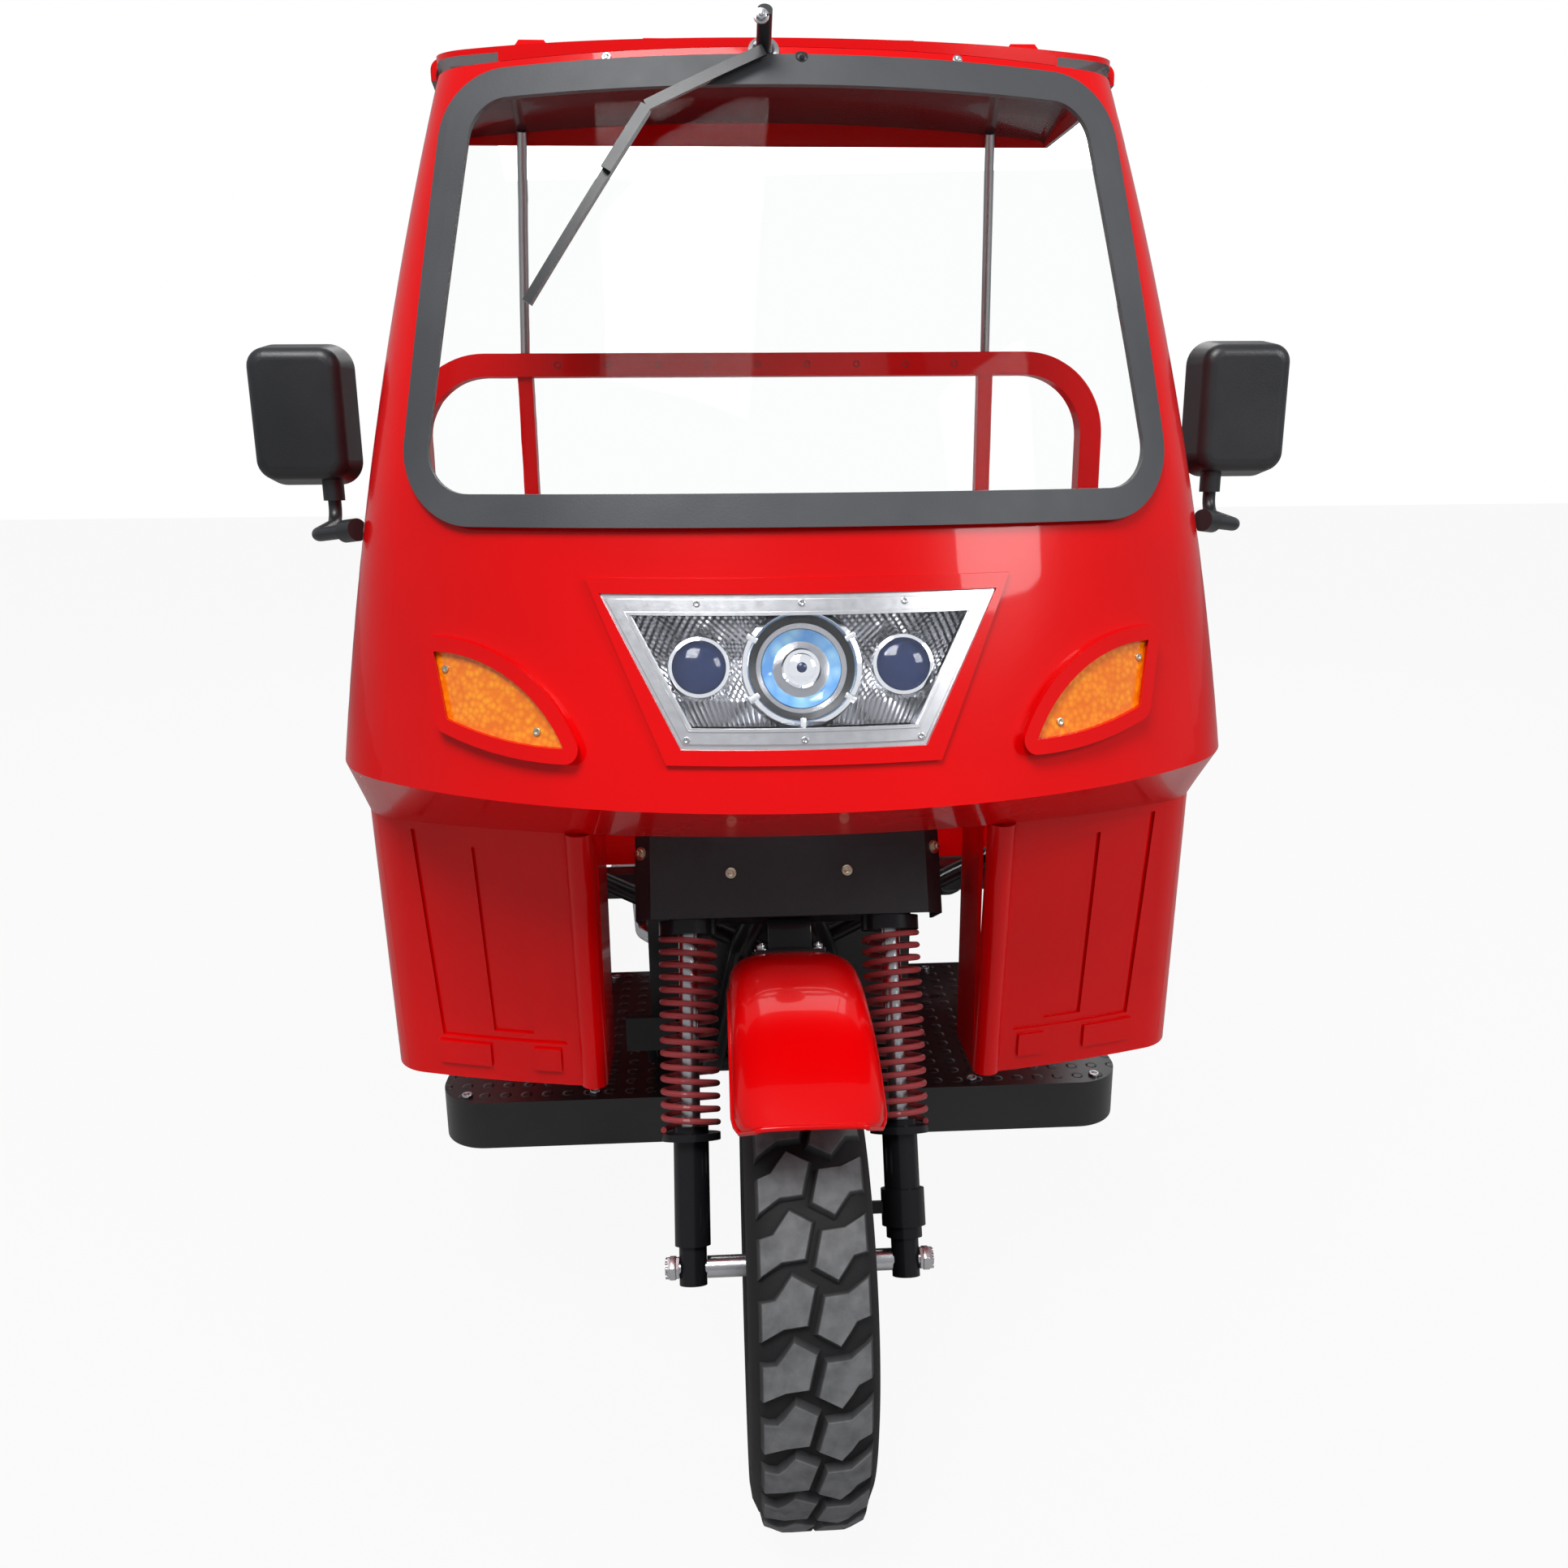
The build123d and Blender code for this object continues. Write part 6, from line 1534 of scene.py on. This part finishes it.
    def build(self) -> None:
        """Builds every fitting of the box."""
        self.rope_hooks()
        self.latches()
        self.floor_ribs()
        self.reflectors()
        self.hoop_hole_shade()


@dataclass
class Machinery:
    """Bolts of the engine's covers and of the rear axle's gear housing."""

    covers: tuple[tuple[float, float, float], ...] = ((-0.675, 0.431, 0.066), (-0.505, 0.431, 0.056))
    cover_bolts: int = 6
    cover_bolt: Spot = (0.006, 0.005)
    housing: tuple[float, float] = (0.284, 0.086)
    housing_bolts: int = 8
    housing_bolt: Spot = (0.007, 0.006)

    def engine(self) -> None:
        """Rings of bolts on the covers at both sides."""
        block = Surface("engine")
        places = []
        for hand in (-1, 1):
            for y, z, circle in self.covers:
                for angle in around(self.cover_bolts):
                    place, _ = block.side(hand, y + circle * math.cos(angle), z + circle * math.sin(angle))
                    places.append((place, Vector((hand, 0, 0))))
        bolts = Bench.spread(Bench.hexagon(*self.cover_bolt), places)
        Bench.deliver(bolts, "engine_bolts", Body.CHASSIS, STEEL, "steel")

    def rear_axle(self) -> None:
        """Ring of bolts round the gear housing's rear cover."""
        housing = Surface("rear_axle")
        height, circle = self.housing
        places = []
        for angle in around(self.housing_bolts):
            place, _ = housing.rear(circle * math.cos(angle), height + circle * math.sin(angle))
            places.append((place, Vector((0, 1, 0))))
        bolts = Bench.spread(Bench.hexagon(*self.housing_bolt), places)
        Bench.deliver(bolts, "axle_cover_bolts", Body.CHASSIS, STEEL, "steel")

    def build(self) -> None:
        """Builds the bolts."""
        self.engine()
        self.rear_axle()


@dataclass
class Studio:
    """Camera at the photograph's viewing angle, pale floor and soft lamps."""

    lens: float = 28.554
    eye: Point = (-0.0865, -2.6278, 1.2397)
    pitch: float = math.radians(14.53)
    yaw: float = math.radians(3.09)
    roll: float = math.radians(-0.49)
    aim: Point = (0.0, 0.0, 0.7)
    floor_size: float = 60.0
    floor_greys: tuple[Colour, Colour] = ((0.42, 0.42, 0.42), (0.40, 0.40, 0.40))
    floor_white: float = 0.93
    sky_colour: Colour = (0.94, 0.96, 1.0)
    sky_strength: float = 0.42
    lamps: tuple[tuple[str, Point, float, float], ...] = (
        ("key", (-1.2, -3.6, 5.2), 2.2, 230.0),
        ("fill", (3.2, -3.8, 3.6), 1.5, 80.0),
        ("back", (0.5, 4.5, 4.5), 4.0, 110.0),
    )

    def camera(self) -> None:
        """Places the camera in front of the wheel, looking slightly down."""
        data = bpy.data.cameras.new("camera")
        data.lens = self.lens
        eye = bpy.data.objects.new("camera", data)
        level = Vector((math.cos(self.yaw), -math.sin(self.yaw), 0))
        ahead = Vector((math.sin(self.yaw) * math.cos(self.pitch), math.cos(self.yaw) * math.cos(self.pitch),
                        -math.sin(self.pitch)))
        up = level.cross(ahead)
        right = level * math.cos(self.roll) + up * math.sin(self.roll)
        top = up * math.cos(self.roll) - level * math.sin(self.roll)
        turn = Matrix((right, top, -ahead)).transposed().to_4x4()
        eye.matrix_world = Matrix.Translation(self.eye) @ turn
        bpy.context.collection.objects.link(eye)
        bpy.context.scene.camera = eye

    def floor(self) -> None:
        """Lays a plain pale floor under the vehicle, near white to the camera but keeping the shadow."""
        Bench.clear()
        bpy.ops.mesh.primitive_plane_add(size=self.floor_size)
        plane = bpy.context.object
        plane.name = "floor"
        material = bpy.data.materials.new("floor")
        tree = Tree(material)
        tree.set(Base_Color=tree.blend(tree.noise(0.4), *self.floor_greys), Roughness=0.9)
        tree.set(Specular_IOR_Level=0.1)
        seen = tree.math("MULTIPLY", tree.seen(), self.floor_white)
        tree.cover("ShaderNodeEmission", seen, "Material Output")
        plane.data.materials.append(material)
        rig.stage(plane)

    def lamp(self, name: str, place: Point, size: float, power: float) -> None:
        """Adds a soft square lamp that faces the vehicle."""
        data = bpy.data.lights.new(name, "AREA")
        data.size, data.energy = size, power
        lamp = bpy.data.objects.new(name, data)
        lamp.location = place
        lamp.rotation_euler = (Vector(self.aim) - Vector(place)).to_track_quat("-Z", "Y").to_euler()
        bpy.context.collection.objects.link(lamp)

    def sky(self) -> None:
        """Lights the vehicle evenly and shows plain white to the camera and through glass."""
        world = bpy.data.worlds.new("sky")
        tree = Tree(world)
        tree.set(Color=(*self.sky_colour, 1.0), Strength=self.sky_strength)
        tree.cover("ShaderNodeBackground", tree.seen(), "World Output")
        bpy.context.scene.world = world

    def build(self) -> None:
        """Builds camera, floor and light."""
        self.camera()
        self.floor()
        self.sky()
        for lamp in self.lamps:
            self.lamp(*lamp)


def dress() -> None:
    """Gives every CAD node its finish."""
    for finish, names in DRESS.items():
        for name in names.split():
            for slot in NODES[name].material_slots:
                slot.material = finish.material()
            log.info("dressed %s with %s", name, finish.name)


def build_pieces() -> None:
    """Builds every modelled piece, one sub-assembly after the other."""
    outline = LampFrame()
    for part in (Tyre("front_tyre", Body.FRONT_WHEEL), Tyre("rear_tyre_left", Body.REAR_LEFT),
                 Tyre("rear_tyre_right", Body.REAR_RIGHT),
                 WheelFittings("front_rim", "front_tyre", Body.FRONT_WHEEL, -1),
                 WheelFittings("rear_rim_left", "rear_tyre_left", Body.REAR_LEFT, 1),
                 WheelFittings("rear_rim_right", "rear_tyre_right", Body.REAR_RIGHT, -1),
                 outline, Reflector(outline), LampUnits(), SIGNAL_ROW, Wiper(), *ROWS, AxleNuts(), Fender(),
                 Dial(), CargoFittings(), Machinery(), Cushion("seat_cushion", UP),
                 Cushion("seat_backrest", Vector((0, -1, 0)))):
        part.build()


def main() -> None:
    """Builds the scene in order and writes the two boxes to compare."""
    bpy.context.scene.view_settings.view_transform = "Standard"
    dress()
    build_pieces()
    Studio().build()
    boxes = [[list(corner) for corner in box] for box in (CAD_BOX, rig.bounds())]
    with open("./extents.json", "w") as out:
        json.dump(boxes, out)


if __name__ == "__main__":
    main()
